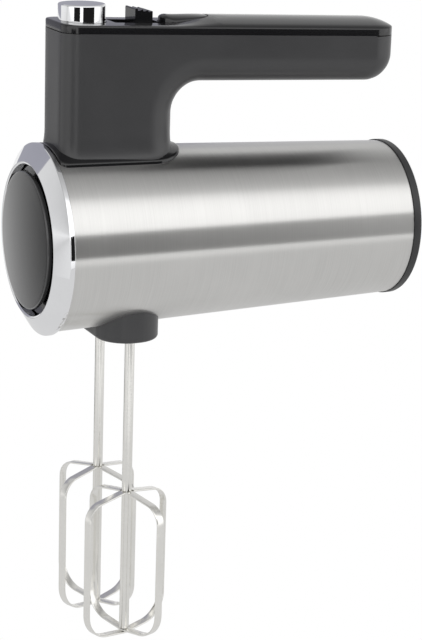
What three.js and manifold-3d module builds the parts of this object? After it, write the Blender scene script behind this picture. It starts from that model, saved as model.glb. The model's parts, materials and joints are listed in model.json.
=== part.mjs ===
// Electric hand mixer: a steel-sleeved motor body, a hollow handle above it and two whisks below.
// Millimetres, +Z up. The body lies along X with its nose at -X. The origin is the centre of
// the flat rear face, on the sleeve's axis, which is also the motor's axis.

import * as THREE from "three";
import { mergeVertices } from "three/addons/utils/BufferGeometryUtils.js";
import Module from "manifold-3d";

// ---- clearances -------------------------------------------------------------------------
const FIT = 0.3; // between two pieces that touch
const RUNNING = 0.35; // radial, round a piece that turns or slides
const KEY_GAP = 0.45; // round a key, slider or cap in its opening
const CUT = 2; // how far a cutting solid runs past what it cuts

// ---- body: sleeve, nose and tail ----------------------------------------------------------
const SLEEVE_LENGTH = 179.2;
const SLEEVE_RADIUS_FRONT = 44.1;
const SLEEVE_RADIUS_REAR = 38.4;
const SLEEVE_WALL = 1.0;
const TAIL_LENGTH = 4.7; // rear ring and rear cap behind the sleeve
const RING_PROUD = 0.6;
const RING_WALL = 1.6;
const CAP_PLATE = 3.0;
const CAP_WALL = 2.2;
const CAP_SPIGOT = 11;
const VENT_COUNT = 12;
const VENT_WIDTH = 2.6;
const VENT_INNER_RADIUS = 17;
const VENT_MARGIN = 5; // from the slots' outer ends to the cap's edge
const GLAND_RADIUS = 6.2;
const GLAND_BORE = 3.7;
const GLAND_DROP = 23; // below the axis
const GLAND_LENGTH = 12;
const GLAND_RECESS = 1.5; // behind the rear face
const GLAND_FLANGE = 1.8;

const BEZEL_RADIUS = 45.7;
const BEZEL_RIM = 2.3;
const BEZEL_CHAMFER = 5.5;
const BEZEL_MOUTH = 36.6;
const BEZEL_LIP = 0.8;
const CARRIER_RECESS = 5; // from the bezel's mouth down to the black floor
const CARRIER_WALL = 2.4;
const DISC_RADIUS = 32.6;
const DISC_PROUD = 1.0; // disc's rim ahead of the bezel's mouth
const DISC_DOME = 1.2;
const DISC_EDGE = 2.2;
const DISC_POST = 12;

// ---- handle -------------------------------------------------------------------------------
const HANDLE_HALF_WIDTH = 17.5;
const HANDLE_WALL = 2.4;
const STEM_FRONT = 4.5; // setbacks are measured from the sleeve's front edge
const STEM_REAR = 62.3;
const STEM_FRONT_CORNER = 8.5;
const STEM_REAR_CORNER = 16.5;
const STEM_FLARE = 2;
const STEM_FLARE_HEIGHT = 7;
const STEM_FLARE_START = 4; // above the sleeve's highest line
const THROAT_RADIUS = 13.5; // inside bend from stem to grip
const GRIP_TAIL_GAP = 5.9; // the grip stops this far ahead of the rear face
const GRIP_HEIGHT = 102.4; // cover's edge line above the axis, at the stem's front
const GRIP_SLOPE = 0.03; // fall of the grip for each mm towards the rear
const GRIP_DEPTH = 26.8; // cover's edge line down to the underside
const GRIP_BELLY_CORNER = 12.5;
const GRIP_END_CORNER = 13; // in plan
const GRIP_HEEL_CORNER = 13.5; // seen from the side
const COVER_BAND = 3.7; // seam down from the cover's edge line
const COVER_CROWN = 3.8; // across the cover, behind the keys
const DECK_CROWN = 0.3; // across the nearly flat deck that carries the keys
const CROWN_RUN = 28; // length over which the crown rises, behind the slider's slot
const COVER_WALL = 2.2;
const COVER_END_ROUND = 6;
const SADDLE_HALF_WIDTH = 22;
const SADDLE_REAR_HALF_WIDTH = 19.8;
const SADDLE_REAR = 66.4;
const SADDLE_FRONT_CORNER = 4;
const SADDLE_REAR_CORNER = 17.5;
const SADDLE_FRONT = 0.8;
const SADDLE_THICKNESS = 1.4;
const OPENING_FRONT = 14.6; // opening in the sleeve under the stem
const OPENING_REAR = 53;
const OPENING_HALF_WIDTH = 12;

// ---- drive ----------------------------------------------------------------------------------
const SPINDLE_SETBACK = 37.8;
const SPINDLE_SPACING = 39;
const SPINDLE_RADIUS = 5;
const SPINDLE_TOP = 11.5;
const SPINDLE_RECESS = 2.5; // up inside the socket boss
const WORM_SHARE = 2 / 13; // worm's pitch radius, as a share of the spindle spacing
const WORM_STARTS = 2;
const WORM_LENGTH = 15;
const WHEEL_TEETH = 24;
const WHEEL_HALF_FACE = 3;
const TOOTH_FILL = 0.36; // share of a pitch that a tooth fills at the pitch line
const GEARCASE_WALL = 4;
const GEARCASE_TOP = 9.5;
const GEARCASE_BOTTOM = -22;
const CHASSIS_MARGIN = 1.2; // inside the sleeve
const BOSS_HALF_LENGTH = 29; // along Y
const BOSS_HALF_WIDTH = 15.5; // along X
const BOSS_DROP = 47; // below the axis

const SHAFT_RADIUS = 2.5;
const SHAFT_REAR = 158;
const FRONT_BEARING_SETBACK = 61;
const REAR_BEARING_SETBACK = 149;
const BEARING_RADIUS = 6.5;
const BEARING_LENGTH = 7;
const FAN_SETBACK = 69;
const FAN_RADIUS = 25;
const FAN_BLADES = 8;
const FAN_DISC = 1.6;
const FAN_BLADE_LENGTH = 7;
const STACK_SETBACK = 88; // laminated stack's front face
const STACK_LENGTH = 32;
const STATOR_RADIUS = 29;
const STATOR_YOKE = 5;
const STATOR_BORE = 15.6;
const POLE_HALF_WIDTH = 8;
const POLE_SHOE = 1.7;
const POLE_SHOE_ANGLE = 1.02; // radians each side of the pole's middle
const COIL_HEIGHT = 2.3;
const COIL_WIDTH = 3.6;
const CORE_RADIUS = 15;
const CORE_SLOTS = 10;
const SLOT_WIDTH = 3.4;
const SLOT_FLOOR = 8.4;
const END_WINDING_LENGTH = 6;
const END_WINDING_RADIUS = 13;
const COMMUTATOR_SETBACK = 129;
const COMMUTATOR_LENGTH = 12;
const COMMUTATOR_RADIUS = 9;
const BRUSH_LENGTH = 11;
const BRUSH_HALF_WIDTH = 2.4;
const BRUSH_HALF_HEIGHT = 3.2;
const HOLDER_WALL = 1.4;
const BRACKET_THICKNESS = 3;
const BRACKET_HALF_HEIGHT = 8.5;
const BRACKET_LEG = 3;
const CRADLE_WALL = 2;

// ---- ejector, keys and electrics --------------------------------------------------------------
const EJECT_RADIUS = 11.15;
const EJECT_RISE = 8.1; // above the cover's crown
const EJECT_SKIRT = 6.5; // inside the cover at rest
const EJECT_TRAVEL = 7;
const EJECT_ROD = 2.2;
const EJECT_EDGE = 1;
const FORK_THICKNESS = 3;
const FORK_PAD = 5.5;
const PUSHER_RADIUS = 1.9;
const PUSHER_HEAD = 4.2;
const PUSHER_HEAD_HEIGHT = 2;
const SHELF_HEIGHT = 64; // guide shelf inside the stem
const SHELF_THICKNESS = 2;
const SHELF_REAR = 31;
const SPRING_WIRE = 0.65;
const EJECT_SPRING_RADIUS = 4.6;
const EJECT_SPRING_TURNS = 5;
const KNOB_SETBACK = 9.9; // from the slot's front end, at rest
const KNOB_LENGTH = 8.8;
const KNOB_HALF_WIDTH = 6.2;
const KNOB_RISE_FRONT = 6.6; // above the deck
const KNOB_RISE_REAR = 5.7;
const KNOB_RIDGES = 3;
const SLOT_LAND = 2.6; // of cover between the eject button's hole and the slot
const SLOT_LENGTH = 23.4;
const SLOT_CORNER = 1;
const TURBO_GAP = 1; // from the slot's rear end
const TURBO_LENGTH = 24.3;
const TURBO_HALF_WIDTH = 6.6;
const TURBO_PROUD = 3.8; // above the cover at its front; flush at its rear
const TURBO_NOSE = 3; // length of its rounded front
const TURBO_NOSE_DROP = 1.6;
const TURBO_CROWN = 0.5; // across its rear
const TURBO_DOME = 2.5; // further fall across its front
const TURBO_SKIRT = 2.5; // inside the cover at rest
const TURBO_TRAVEL = 2;
const TURBO_SPRING_RADIUS = 2.6;
const TURBO_SPRING_TURNS = 3;
const SWITCH_DEPTH = 11;
const SWITCH_INSET = 0.4; // behind the slot's front end
const LEAD_SETBACK = 8; // ahead of the slot's rear end
const BOARD_GAP = 6.7; // behind the turbo key
const BOARD_LENGTH = 58;
const BOARD_HALF_WIDTH = 11;
const BOARD_THICKNESS = 1.6;
const BOARD_STANDOFF = 4.3; // above the grip's inner floor
const SCREW_RADIUS = 1.4;
const SCREW_HEAD = 3;
const SCREW_HEAD_HEIGHT = 2.2;
const SCREW_LENGTH = 15;
const SCREW_POST = 3.6;

// ---- whisks -------------------------------------------------------------------------------------
const WHISK_SHAFT_RADIUS = 2.45;
const WHISK_TOP = 4;
const WHISK_BOTTOM = -198.4;
const LOOP_HEIGHT = 74.6; // from the bottom crossing up to the arms
const LOOP_RADIUS = 25;
const LOOP_WIDTH = 4.3;
const LOOP_THICKNESS = 0.9;
const LOOP_TOP_BEND = 8.5;
const LOOP_BOTTOM_BEND = 13;
const LOOP_ARM_DROP = 3.4; // fall of an arm from the shaft out to its bend
const LOOP_FLOOR_RISE = 3; // rise of the floor from the middle out to its bend
const WHISK_PHASE_NEAR = 20; // degrees, whisk on the -Y side
const WHISK_PHASE_FAR = 25;

// ---- facets ---------------------------------------------------------------------------------------
const BODY_SEGMENTS = 40;
const ROUND_SEGMENTS = 16;
const SMALL_SEGMENTS = 8;
const ARC_STEP = Math.PI / 7; // largest turn between two points of a rounded corner

// ---- what follows from the sizes above ------------------------------------------------------------
const BODY_LENGTH = SLEEVE_LENGTH + TAIL_LENGTH;
const fromFront = (setback) => setback - BODY_LENGTH; // X of a setback from the sleeve's front
const TAPER = (SLEEVE_RADIUS_FRONT - SLEEVE_RADIUS_REAR) / SLEEVE_LENGTH;
const sleeveRadius = (x) => SLEEVE_RADIUS_FRONT - TAPER * (x - fromFront(0));
const SPINDLE_X = fromFront(SPINDLE_SETBACK);
const SPINDLE_Y = SPINDLE_SPACING / 2;
const SPINDLE_BORE = WHISK_SHAFT_RADIUS + RUNNING;
const WORM_PITCH_RADIUS = WORM_SHARE * SPINDLE_SPACING;
const WHEEL_PITCH_RADIUS = SPINDLE_Y - WORM_PITCH_RADIUS;
const GEAR_MODULE = (2 * WHEEL_PITCH_RADIUS) / WHEEL_TEETH;
const ADDENDUM = GEAR_MODULE;
const DEDENDUM = 1.25 * GEAR_MODULE;
const PRESSURE = Math.tan((20 * Math.PI) / 180);
const WORM_LEAD = WORM_STARTS * Math.PI * GEAR_MODULE;
const WHEEL_TWIST = WORM_LEAD / (2 * Math.PI * WORM_PITCH_RADIUS * WHEEL_PITCH_RADIUS); // rad per mm
const FORK_BOTTOM = SPINDLE_TOP + EJECT_TRAVEL + PUSHER_HEAD_HEIGHT + 3 * FIT;
const EJECT_SETBACK = STEM_FRONT + HANDLE_WALL + RUNNING + EJECT_RADIUS;
const EJECT_X = fromFront(EJECT_SETBACK);
const SLOT_FRONT = EJECT_SETBACK + EJECT_RADIUS + KEY_GAP + SLOT_LAND;
const SLOT_REAR = SLOT_FRONT + SLOT_LENGTH;
const KNOB_FRONT = SLOT_FRONT + KNOB_SETBACK;
const KNOB_REAR = KNOB_FRONT + KNOB_LENGTH;
const TURBO_FRONT = SLOT_REAR + TURBO_GAP;
const TURBO_REAR = TURBO_FRONT + TURBO_LENGTH;
const CROWN_FULL = SLOT_REAR + CROWN_RUN;
const BOARD_FRONT = TURBO_REAR + BOARD_GAP;
const BOARD_REAR = BOARD_FRONT + BOARD_LENGTH;
const STEM_FRONT_X = fromFront(STEM_FRONT);
const GRIP_ANGLE = Math.atan(GRIP_SLOPE);
const edgeHeight = (x) => GRIP_HEIGHT - GRIP_SLOPE * (x - STEM_FRONT_X); // cover's edge line
const seamHeight = (x) => edgeHeight(x) - COVER_BAND;
const crownRise = (x) =>
  THREE.MathUtils.lerp(
    DECK_CROWN,
    COVER_CROWN,
    THREE.MathUtils.smoothstep(x, fromFront(SLOT_REAR), fromFront(CROWN_FULL)),
  );
const crownHeight = (x, y) => edgeHeight(x) + crownRise(x) * (1 - (y / HANDLE_HALF_WIDTH) ** 2);
const innerCrown = (x) => crownHeight(x, 0) - COVER_WALL;
const EJECT_TOP = crownHeight(EJECT_X, 0) + EJECT_RISE;
const KNOB_TOP_FRONT = crownHeight(fromFront(KNOB_FRONT), 0) + KNOB_RISE_FRONT;
const KNOB_TOP_REAR = crownHeight(fromFront(KNOB_REAR), 0) + KNOB_RISE_REAR;
const BOARD_HEIGHT = edgeHeight(fromFront(BOARD_FRONT)) - GRIP_DEPTH + HANDLE_WALL + BOARD_STANDOFF;

// ---- materials --------------------------------------------------------------------------------------
const material = (color, roughness, metalness) =>
  new THREE.MeshStandardMaterial({ color, roughness, metalness });
const STEEL = material(0xb9b6b1, 0.34, 1);
const BEATER_STEEL = material(0xc9c6c0, 0.28, 1);
const CHROME = material(0xe4e6ea, 0.06, 1);
const GLOSS_BLACK = material(0x1b1b1c, 0.12, 0);
const SMOKED_DISC = material(0x4a4a4b, 0.1, 0);
const HANDLE_PLASTIC = material(0x454547, 0.5, 0);
const DARK_PLASTIC = material(0x2f2f30, 0.45, 0);
const INNER_PLASTIC = material(0x5c5d5a, 0.6, 0);
const WHITE_NYLON = material(0xe6e2d6, 0.5, 0);
const RUBBER = material(0x222223, 0.8, 0);
const IRON = material(0x74726e, 0.5, 1);
const COPPER = material(0xa8623a, 0.35, 1);
const BRONZE = material(0xa8864f, 0.45, 1);
const CARBON = material(0x2b2b2c, 0.7, 0);
const BOARD_GREEN = material(0x2d5a3c, 0.5, 0);
const ZINC = material(0xa7a8a6, 0.4, 1);

// ---- solids --------------------------------------------------------------------------------------------
const wasm = await Module();
wasm.setup();

function solid(geometry) {
  const plain = geometry.index ? geometry.toNonIndexed() : geometry.clone();
  plain.deleteAttribute("normal");
  plain.deleteAttribute("uv");
  const merged = mergeVertices(plain, 1e-4);
  return new wasm.Manifold(
    new wasm.Mesh({
      numProp: 3,
      vertProperties: merged.attributes.position.array,
      triVerts: new Uint32Array(merged.index.array),
    }),
  );
}

function geometryOf(body) {
  const mesh = body.getMesh();
  const geometry = new THREE.BufferGeometry();
  geometry.setAttribute("position", new THREE.BufferAttribute(mesh.vertProperties, 3));
  geometry.setIndex(new THREE.BufferAttribute(mesh.triVerts, 1));
  geometry.computeVertexNormals();
  return geometry;
}

const join = (bodies) => bodies.reduce((sum, body) => sum.add(body));
const cut = (body, cutters) => cutters.reduce((left, cutter) => left.subtract(cutter), body);

// The part of an outline's plane in space: its u, v and depth directions.
const PLANES = {
  XY: new THREE.Matrix4(),
  XZ: new THREE.Matrix4().makeBasis(
    new THREE.Vector3(1, 0, 0),
    new THREE.Vector3(0, 0, 1),
    new THREE.Vector3(0, -1, 0),
  ),
  YZ: new THREE.Matrix4().makeBasis(
    new THREE.Vector3(0, 1, 0),
    new THREE.Vector3(0, 0, 1),
    new THREE.Vector3(1, 0, 0),
  ),
};

// An outline (and holes) pushed along its plane's normal between two coordinates.
function prismGeometry(outline, plane, low, high, holes = []) {
  const shape = new THREE.Shape(outline);
  shape.holes = holes.map((hole) => new THREE.Path(hole));
  const geometry = new THREE.ExtrudeGeometry(shape, { depth: high - low, bevelEnabled: false });
  geometry.translate(0, 0, plane === "XZ" ? -high : low);
  return geometry.applyMatrix4(PLANES[plane]);
}

const prism = (...given) => solid(prismGeometry(...given));

const box = (x0, x1, y0, y1, z0, z1) =>
  solid(
    new THREE.BoxGeometry(x1 - x0, y1 - y0, z1 - z0).translate(
      (x0 + x1) / 2,
      (y0 + y1) / 2,
      (z0 + z1) / 2,
    ),
  );

// A closed outline from corners [u, v, radius], each rounded by an arc that touches both sides.
function rounded(corners) {
  const points = [];
  corners.forEach(([u, v, radius = 0], i) => {
    const here = new THREE.Vector2(u, v);
    const [pu, pv] = corners[(i + corners.length - 1) % corners.length];
    const [nu, nv] = corners[(i + 1) % corners.length];
    const back = new THREE.Vector2(pu, pv).sub(here);
    const ahead = new THREE.Vector2(nu, nv).sub(here);
    const reach = Math.min(back.length(), ahead.length()) * 0.499;
    back.normalize();
    ahead.normalize();
    const half = Math.acos(THREE.MathUtils.clamp(back.dot(ahead), -1, 1)) / 2;
    const r = Math.min(radius, reach * Math.tan(half));
    if (r < 1e-6) {
      points.push(here);
      return;
    }
    const middle = back.clone().add(ahead).normalize();
    const centre = here.clone().addScaledVector(middle, r / Math.sin(half));
    const start = here.clone().addScaledVector(back, r / Math.tan(half)).sub(centre);
    const sweep = (Math.PI - 2 * half) * Math.sign(ahead.cross(back));
    const steps = Math.max(1, Math.ceil(Math.abs(sweep) / ARC_STEP));
    for (let k = 0; k <= steps; k++) {
      points.push(start.clone().rotateAround(new THREE.Vector2(), (sweep * k) / steps).add(centre));
    }
  });
  return points;
}

const rectangle = (u0, u1, v0, v1, radius = 0, farRadius = radius) =>
  rounded([
    [u0, v0, radius],
    [u1, v0, farRadius],
    [u1, v1, farRadius],
    [u0, v1, radius],
  ]);

const circle = (radius, segments = ROUND_SEGMENTS, u = 0, v = 0) =>
  Array.from({ length: segments }, (_, i) => {
    const a = (2 * Math.PI * i) / segments;
    return new THREE.Vector2(u + radius * Math.cos(a), v + radius * Math.sin(a));
  });

// A profile of [along, radius] pairs turned about X, or about an upright axis at x, y.
function turned(profile, segments, axis = "X", x = 0, y = 0) {
  const points = profile.map(([along, radius]) => new THREE.Vector2(radius, along));
  const area = THREE.ShapeUtils.area(points);
  const closed = [...points, points[0]];
  if (area < 0) closed.reverse();
  const geometry = new THREE.LatheGeometry(closed, segments);
  geometry.applyMatrix4(axis === "X" ? LATHE_TO_X : LATHE_TO_Z);
  geometry.translate(x, y, 0);
  return solid(geometry);
}
const LATHE_TO_Z = new THREE.Matrix4().makeRotationX(Math.PI / 2);
const LATHE_TO_X = new THREE.Matrix4().makeBasis(
  new THREE.Vector3(0, 1, 0),
  new THREE.Vector3(1, 0, 0),
  new THREE.Vector3(0, 0, -1),
);

const rodX = (radius, x0, x1, segments = ROUND_SEGMENTS, y = 0, z = 0) =>
  prism(circle(radius, segments, y, z), "YZ", x0, x1);
const rodZ = (radius, z0, z1, x, y, segments = ROUND_SEGMENTS) =>
  prism(circle(radius, segments, x, y), "XY", z0, z1);
const tubeX = (outer, inner, x0, x1, segments = ROUND_SEGMENTS) =>
  prism(circle(outer, segments), "YZ", x0, x1, [circle(inner, segments)]);

// The sleeve's cone, grown or shrunk by an offset, between two places along X.
const cone = (offset, x0, x1) =>
  turned(
    [
      [x0, 0],
      [x1, 0],
      [x1, sleeveRadius(x1) + offset],
      [x0, sleeveRadius(x0) + offset],
    ],
    BODY_SEGMENTS,
  );

// Rings of equally many points joined into one closed skin, with a flat cap at each end.
function loft(rings) {
  const count = rings[0].length;
  const flat = THREE.ShapeUtils.triangulateShape(
    rings[0].map((p) => new THREE.Vector2(p.x, p.y)),
    [],
  );
  const position = rings.flat().flatMap((p) => [p.x, p.y, p.z]);
  const index = [];
  const top = (rings.length - 1) * count;
  flat.forEach(([a, b, c]) => index.push(a, c, b, top + a, top + b, top + c));
  for (let ring = 0; ring < rings.length - 1; ring++) {
    for (let i = 0; i < count; i++) {
      const a = ring * count + i;
      const b = ring * count + ((i + 1) % count);
      index.push(a, b, b + count, a, b + count, a + count);
    }
  }
  const geometry = new THREE.BufferGeometry();
  geometry.setAttribute("position", new THREE.Float32BufferAttribute(position, 3));
  geometry.setIndex(index);
  return solid(geometry);
}

// The same for rings of [y, z] that stand across X at the given stations.
function loftX(stations, ringAt) {
  const rings = stations.map((x) => ringAt(x).map(([y, z]) => new THREE.Vector3(y, z, x)));
  return solid(geometryOf(loft(rings)).applyMatrix4(PLANES.YZ));
}

// Evenly spaced numbers from low to high.
const spaced = (low, high, steps) =>
  Array.from({ length: steps + 1 }, (_, i) => low + ((high - low) * i) / steps);

// A round wire along a curve.
function wire(curve, radius, steps, sides = 6) {
  const shape = new THREE.Shape(circle(radius, sides));
  return solid(new THREE.ExtrudeGeometry(shape, { steps, extrudePath: curve }));
}

class Helix extends THREE.Curve {
  constructor(radius, turns, low, high, x, y) {
    super();
    Object.assign(this, { radius, turns, low, high, x, y });
  }
  getPoint(t, target = new THREE.Vector3()) {
    const a = 2 * Math.PI * this.turns * t;
    const z = this.low + (this.high - this.low) * t;
    return target.set(this.x + this.radius * Math.cos(a), this.y + this.radius * Math.sin(a), z);
  }
}

const mixer = new THREE.Group();
function place(name, body, look, parent = mixer) {
  const mesh = new THREE.Mesh(geometryOf(body), look);
  mesh.name = name;
  parent.add(mesh);
  return mesh;
}

// ---- body ------------------------------------------------------------------------------------------
const stemPlan = (inset, rear = STEM_REAR) =>
  rectangle(
    STEM_FRONT_X + inset,
    fromFront(rear) - inset,
    -HANDLE_HALF_WIDTH + inset,
    HANDLE_HALF_WIDTH - inset,
    Math.max(STEM_FRONT_CORNER - inset, 1),
    Math.max(STEM_REAR_CORNER - inset, 1),
  );

const bossPlan = (grow) =>
  rectangle(
    SPINDLE_X - BOSS_HALF_WIDTH - grow,
    SPINDLE_X + BOSS_HALF_WIDTH + grow,
    -BOSS_HALF_LENGTH - grow,
    BOSS_HALF_LENGTH + grow,
    BOSS_HALF_WIDTH - 1.5 + grow,
  );

const screwSetbacks = [
  STEM_FRONT + HANDLE_WALL + SCREW_POST - 1,
  STEM_REAR - HANDLE_WALL - SCREW_POST + 1,
];

function bodySleeve() {
  const front = fromFront(FIT);
  const rear = -TAIL_LENGTH;
  const outer = cone(0, front, rear);
  const inner = cone(-SLEEVE_WALL, front - CUT, rear + CUT);
  const stemOpening = prism(
    rectangle(
      fromFront(OPENING_FRONT),
      fromFront(OPENING_REAR),
      -OPENING_HALF_WIDTH,
      OPENING_HALF_WIDTH,
      5,
    ),
    "XY",
    0,
    SLEEVE_RADIUS_FRONT + CUT,
  );
  const bossOpening = prism(bossPlan(FIT), "XY", -SLEEVE_RADIUS_FRONT - CUT, 0);
  const screwHoles = screwSetbacks.map((setback) =>
    rodZ(SCREW_RADIUS + FIT, 0, SLEEVE_RADIUS_FRONT + CUT, fromFront(setback), 0, SMALL_SEGMENTS),
  );
  return cut(outer, [inner, stemOpening, bossOpening, ...screwHoles]);
}

function frontBezel() {
  const back = fromFront(0);
  const shoulder = back - BEZEL_RIM;
  const mouth = shoulder - BEZEL_CHAMFER;
  return turned(
    [
      [back, BEZEL_MOUTH - BEZEL_LIP],
      [back, BEZEL_RADIUS],
      [shoulder, BEZEL_RADIUS],
      [mouth, BEZEL_MOUTH],
      [mouth + BEZEL_LIP / 2, BEZEL_MOUTH - BEZEL_LIP],
    ],
    BODY_SEGMENTS,
  );
}

const MOUTH_X = fromFront(0) - BEZEL_RIM - BEZEL_CHAMFER;
const CARRIER_FLOOR_X = MOUTH_X + CARRIER_RECESS;

function frontCarrier() {
  const plug = BEZEL_MOUTH - BEZEL_LIP - FIT;
  const seat = fromFront(FIT);
  const end = fromFront(screwSetbacks[0] - SCREW_HEAD - 3 * FIT);
  const spigot = sleeveRadius(end) - SLEEVE_WALL - FIT - 0.1;
  return turned(
    [
      [CARRIER_FLOOR_X, 0],
      [CARRIER_FLOOR_X, plug],
      [seat, plug],
      [seat, spigot],
      [end, spigot],
      [end, spigot - CARRIER_WALL],
      [seat + CARRIER_WALL, spigot - CARRIER_WALL],
      [seat + CARRIER_WALL, 0],
    ],
    BODY_SEGMENTS,
  );
}

function frontDisc() {
  const rim = MOUTH_X - DISC_PROUD;
  const sphere = (DISC_RADIUS ** 2 + DISC_DOME ** 2) / (2 * DISC_DOME);
  const dome = [0, 0.35, 0.7, 0.97].map((share) => {
    const radius = share * DISC_RADIUS;
    return [rim - DISC_DOME + sphere - Math.sqrt(sphere ** 2 - radius ** 2), radius];
  });
  return turned(
    [
      ...dome,
      [rim + 0.5, DISC_RADIUS],
      [rim + DISC_EDGE, DISC_RADIUS],
      [rim + DISC_EDGE, DISC_POST],
      [CARRIER_FLOOR_X - FIT, DISC_POST],
      [CARRIER_FLOOR_X - FIT, 0],
    ],
    BODY_SEGMENTS,
  );
}

const RING_RADIUS = SLEEVE_RADIUS_REAR + RING_PROUD;
const CAP_RADIUS = RING_RADIUS - RING_WALL - FIT;

const rearRing = () =>
  tubeX(RING_RADIUS, RING_RADIUS - RING_WALL, -TAIL_LENGTH + FIT, -FIT, BODY_SEGMENTS);

const capScrewPlaces = [1, -1].map((side) => ({ y: side * 27, z: 0 }));

function rearCap() {
  const spigotEnd = -TAIL_LENGTH - CAP_SPIGOT;
  const spigot = SLEEVE_RADIUS_REAR - SLEEVE_WALL - FIT;
  const plate = turned(
    [
      [0, 0],
      [-CAP_PLATE, 0],
      [-CAP_PLATE, spigot - CAP_WALL],
      [spigotEnd, spigot - CAP_WALL],
      [spigotEnd, spigot],
      [-TAIL_LENGTH, spigot],
      [-TAIL_LENGTH, CAP_RADIUS],
      [0, CAP_RADIUS],
    ],
    BODY_SEGMENTS,
  );
  const slots = [];
  for (let i = 0; i < VENT_COUNT; i++) {
    const angle = (2 * Math.PI * (i + 0.5)) / VENT_COUNT;
    const nearGland = Math.sin(angle) < -0.9;
    if (nearGland) continue;
    const slot = rectangle(
      VENT_INNER_RADIUS,
      CAP_RADIUS - VENT_MARGIN,
      -VENT_WIDTH / 2,
      VENT_WIDTH / 2,
    ).map((p) => p.rotateAround(new THREE.Vector2(), angle));
    slots.push(prism(slot, "YZ", -CAP_PLATE - CUT, CUT));
  }
  const glandHole = rodX(
    GLAND_RADIUS - GLAND_FLANGE + FIT,
    -CAP_PLATE - CUT,
    CUT,
    ROUND_SEGMENTS,
    0,
    -GLAND_DROP,
  );
  const glandSeat = rodX(GLAND_RADIUS + FIT, -CAP_PLATE / 2, CUT, ROUND_SEGMENTS, 0, -GLAND_DROP);
  const screwHoles = capScrewPlaces.flatMap(({ y, z }) => [
    rodX(SCREW_RADIUS + FIT, -CAP_PLATE - CUT, CUT, SMALL_SEGMENTS, y, z),
    rodX(SCREW_HEAD + FIT, -SCREW_HEAD_HEIGHT, CUT, SMALL_SEGMENTS, y, z),
  ]);
  return cut(plate, [...slots, glandHole, glandSeat, ...screwHoles]);
}

function cordGland() {
  const neck = GLAND_RADIUS - GLAND_FLANGE;
  const front = -GLAND_RECESS - GLAND_LENGTH;
  const flangeFront = -CAP_PLATE / 2 + FIT;
  const bush = join([
    rodX(neck, front, -GLAND_FLANGE / 2, ROUND_SEGMENTS, 0, -GLAND_DROP),
    rodX(GLAND_RADIUS, flangeFront, -GLAND_FLANGE / 4, ROUND_SEGMENTS, 0, -GLAND_DROP),
    rodX(GLAND_RADIUS, front, -CAP_PLATE - FIT, ROUND_SEGMENTS, 0, -GLAND_DROP),
  ]);
  return bush.subtract(rodX(GLAND_BORE, front - CUT, CUT, ROUND_SEGMENTS, 0, -GLAND_DROP));
}

function socketBoss() {
  const block = prism(bossPlan(0), "XY", -BOSS_DROP, GEARCASE_BOTTOM - FIT);
  const bores = [1, -1].flatMap((side) => [
    rodZ(
      SPINDLE_RADIUS + RUNNING,
      -BOSS_DROP + SPINDLE_RECESS - FIT,
      0,
      SPINDLE_X,
      side * SPINDLE_Y,
    ),
    rodZ(WHISK_SHAFT_RADIUS + 1.4, -BOSS_DROP - CUT, 0, SPINDLE_X, side * SPINDLE_Y),
  ]);
  return cut(block, bores).intersect(
    cone(BOSS_DROP, fromFront(0), fromFront(2 * SPINDLE_SETBACK)),
  );
}

// ---- handle -----------------------------------------------------------------------------------------
// Brings a solid made along a level grip down onto the grip's slope, about the stem's front edge.
function tilt(geometry) {
  return geometry
    .translate(-STEM_FRONT_X, 0, -GRIP_HEIGHT)
    .rotateY(GRIP_ANGLE)
    .translate(STEM_FRONT_X, 0, GRIP_HEIGHT);
}

const GRIP_END_X = -GRIP_TAIL_GAP;

const gripPlan = (inset) =>
  rectangle(
    STEM_FRONT_X + inset,
    GRIP_END_X - inset,
    -HANDLE_HALF_WIDTH + inset,
    HANDLE_HALF_WIDTH - inset,
    STEM_FRONT_CORNER - inset,
    GRIP_END_CORNER - inset,
  );

// The grip's lower body, up to a height above the cover's edge line.
function gripBody(inset, above) {
  const half = HANDLE_HALF_WIDTH - inset;
  const belly = GRIP_HEIGHT - GRIP_DEPTH + inset;
  const top = GRIP_HEIGHT + above;
  const section = rounded([
    [-half, belly, GRIP_BELLY_CORNER - inset],
    [half, belly, GRIP_BELLY_CORNER - inset],
    [half, top],
    [-half, top],
  ]);
  const side = rounded([
    [STEM_FRONT_X + inset + 2 * THROAT_RADIUS, belly],
    [GRIP_END_X - inset, belly, GRIP_HEEL_CORNER - inset],
    [GRIP_END_X - inset, top],
    [STEM_FRONT_X + inset + 2 * THROAT_RADIUS, top],
  ]);
  const along = solid(tilt(prismGeometry(section, "YZ", STEM_FRONT_X, CUT)));
  const across = solid(tilt(prismGeometry(side, "XZ", -half - CUT, half + CUT)));
  const down = prism(gripPlan(inset), "XY", 0, GRIP_HEIGHT + 2 * COVER_CROWN + above);
  return along.intersect(across).intersect(down);
}

// The upright stem: its plan, carried up from inside the sleeve, flares at the foot and runs out
// into the throat under the grip.
function stemBody(inset, foot, top) {
  const throatBottom = edgeHeight(fromFront(STEM_REAR)) - GRIP_DEPTH - THROAT_RADIUS;
  const flareTop = SLEEVE_RADIUS_FRONT + STEM_FLARE_START;
  const levels = [[foot, 0]];
  const turns = [0, 0.25, 0.5, 0.75, 1];
  turns.forEach((t) => {
    const a = (t * Math.PI) / 2;
    const z = flareTop - STEM_FLARE_HEIGHT * Math.cos(a);
    levels.push([z, STEM_FLARE * (1 - Math.sin(a)), 0]);
  });
  levels[0][1] = STEM_FLARE;
  [0, 0.2, 0.4, 0.6, 0.8, 0.95].forEach((t) => {
    const a = (t * Math.PI) / 2;
    levels.push([
      throatBottom + (THROAT_RADIUS + inset) * Math.sin(a),
      0,
      (THROAT_RADIUS + inset) * (1 - Math.cos(a)),
    ]);
  });
  levels.push([top, 0, (THROAT_RADIUS + inset) * 0.95]);
  const rings = levels.map(([z, flare, reach = 0]) =>
    stemPlan(inset - flare, STEM_REAR + reach).map((p) => new THREE.Vector3(p.x, p.y, z)),
  );
  return loft(rings);
}

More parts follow.
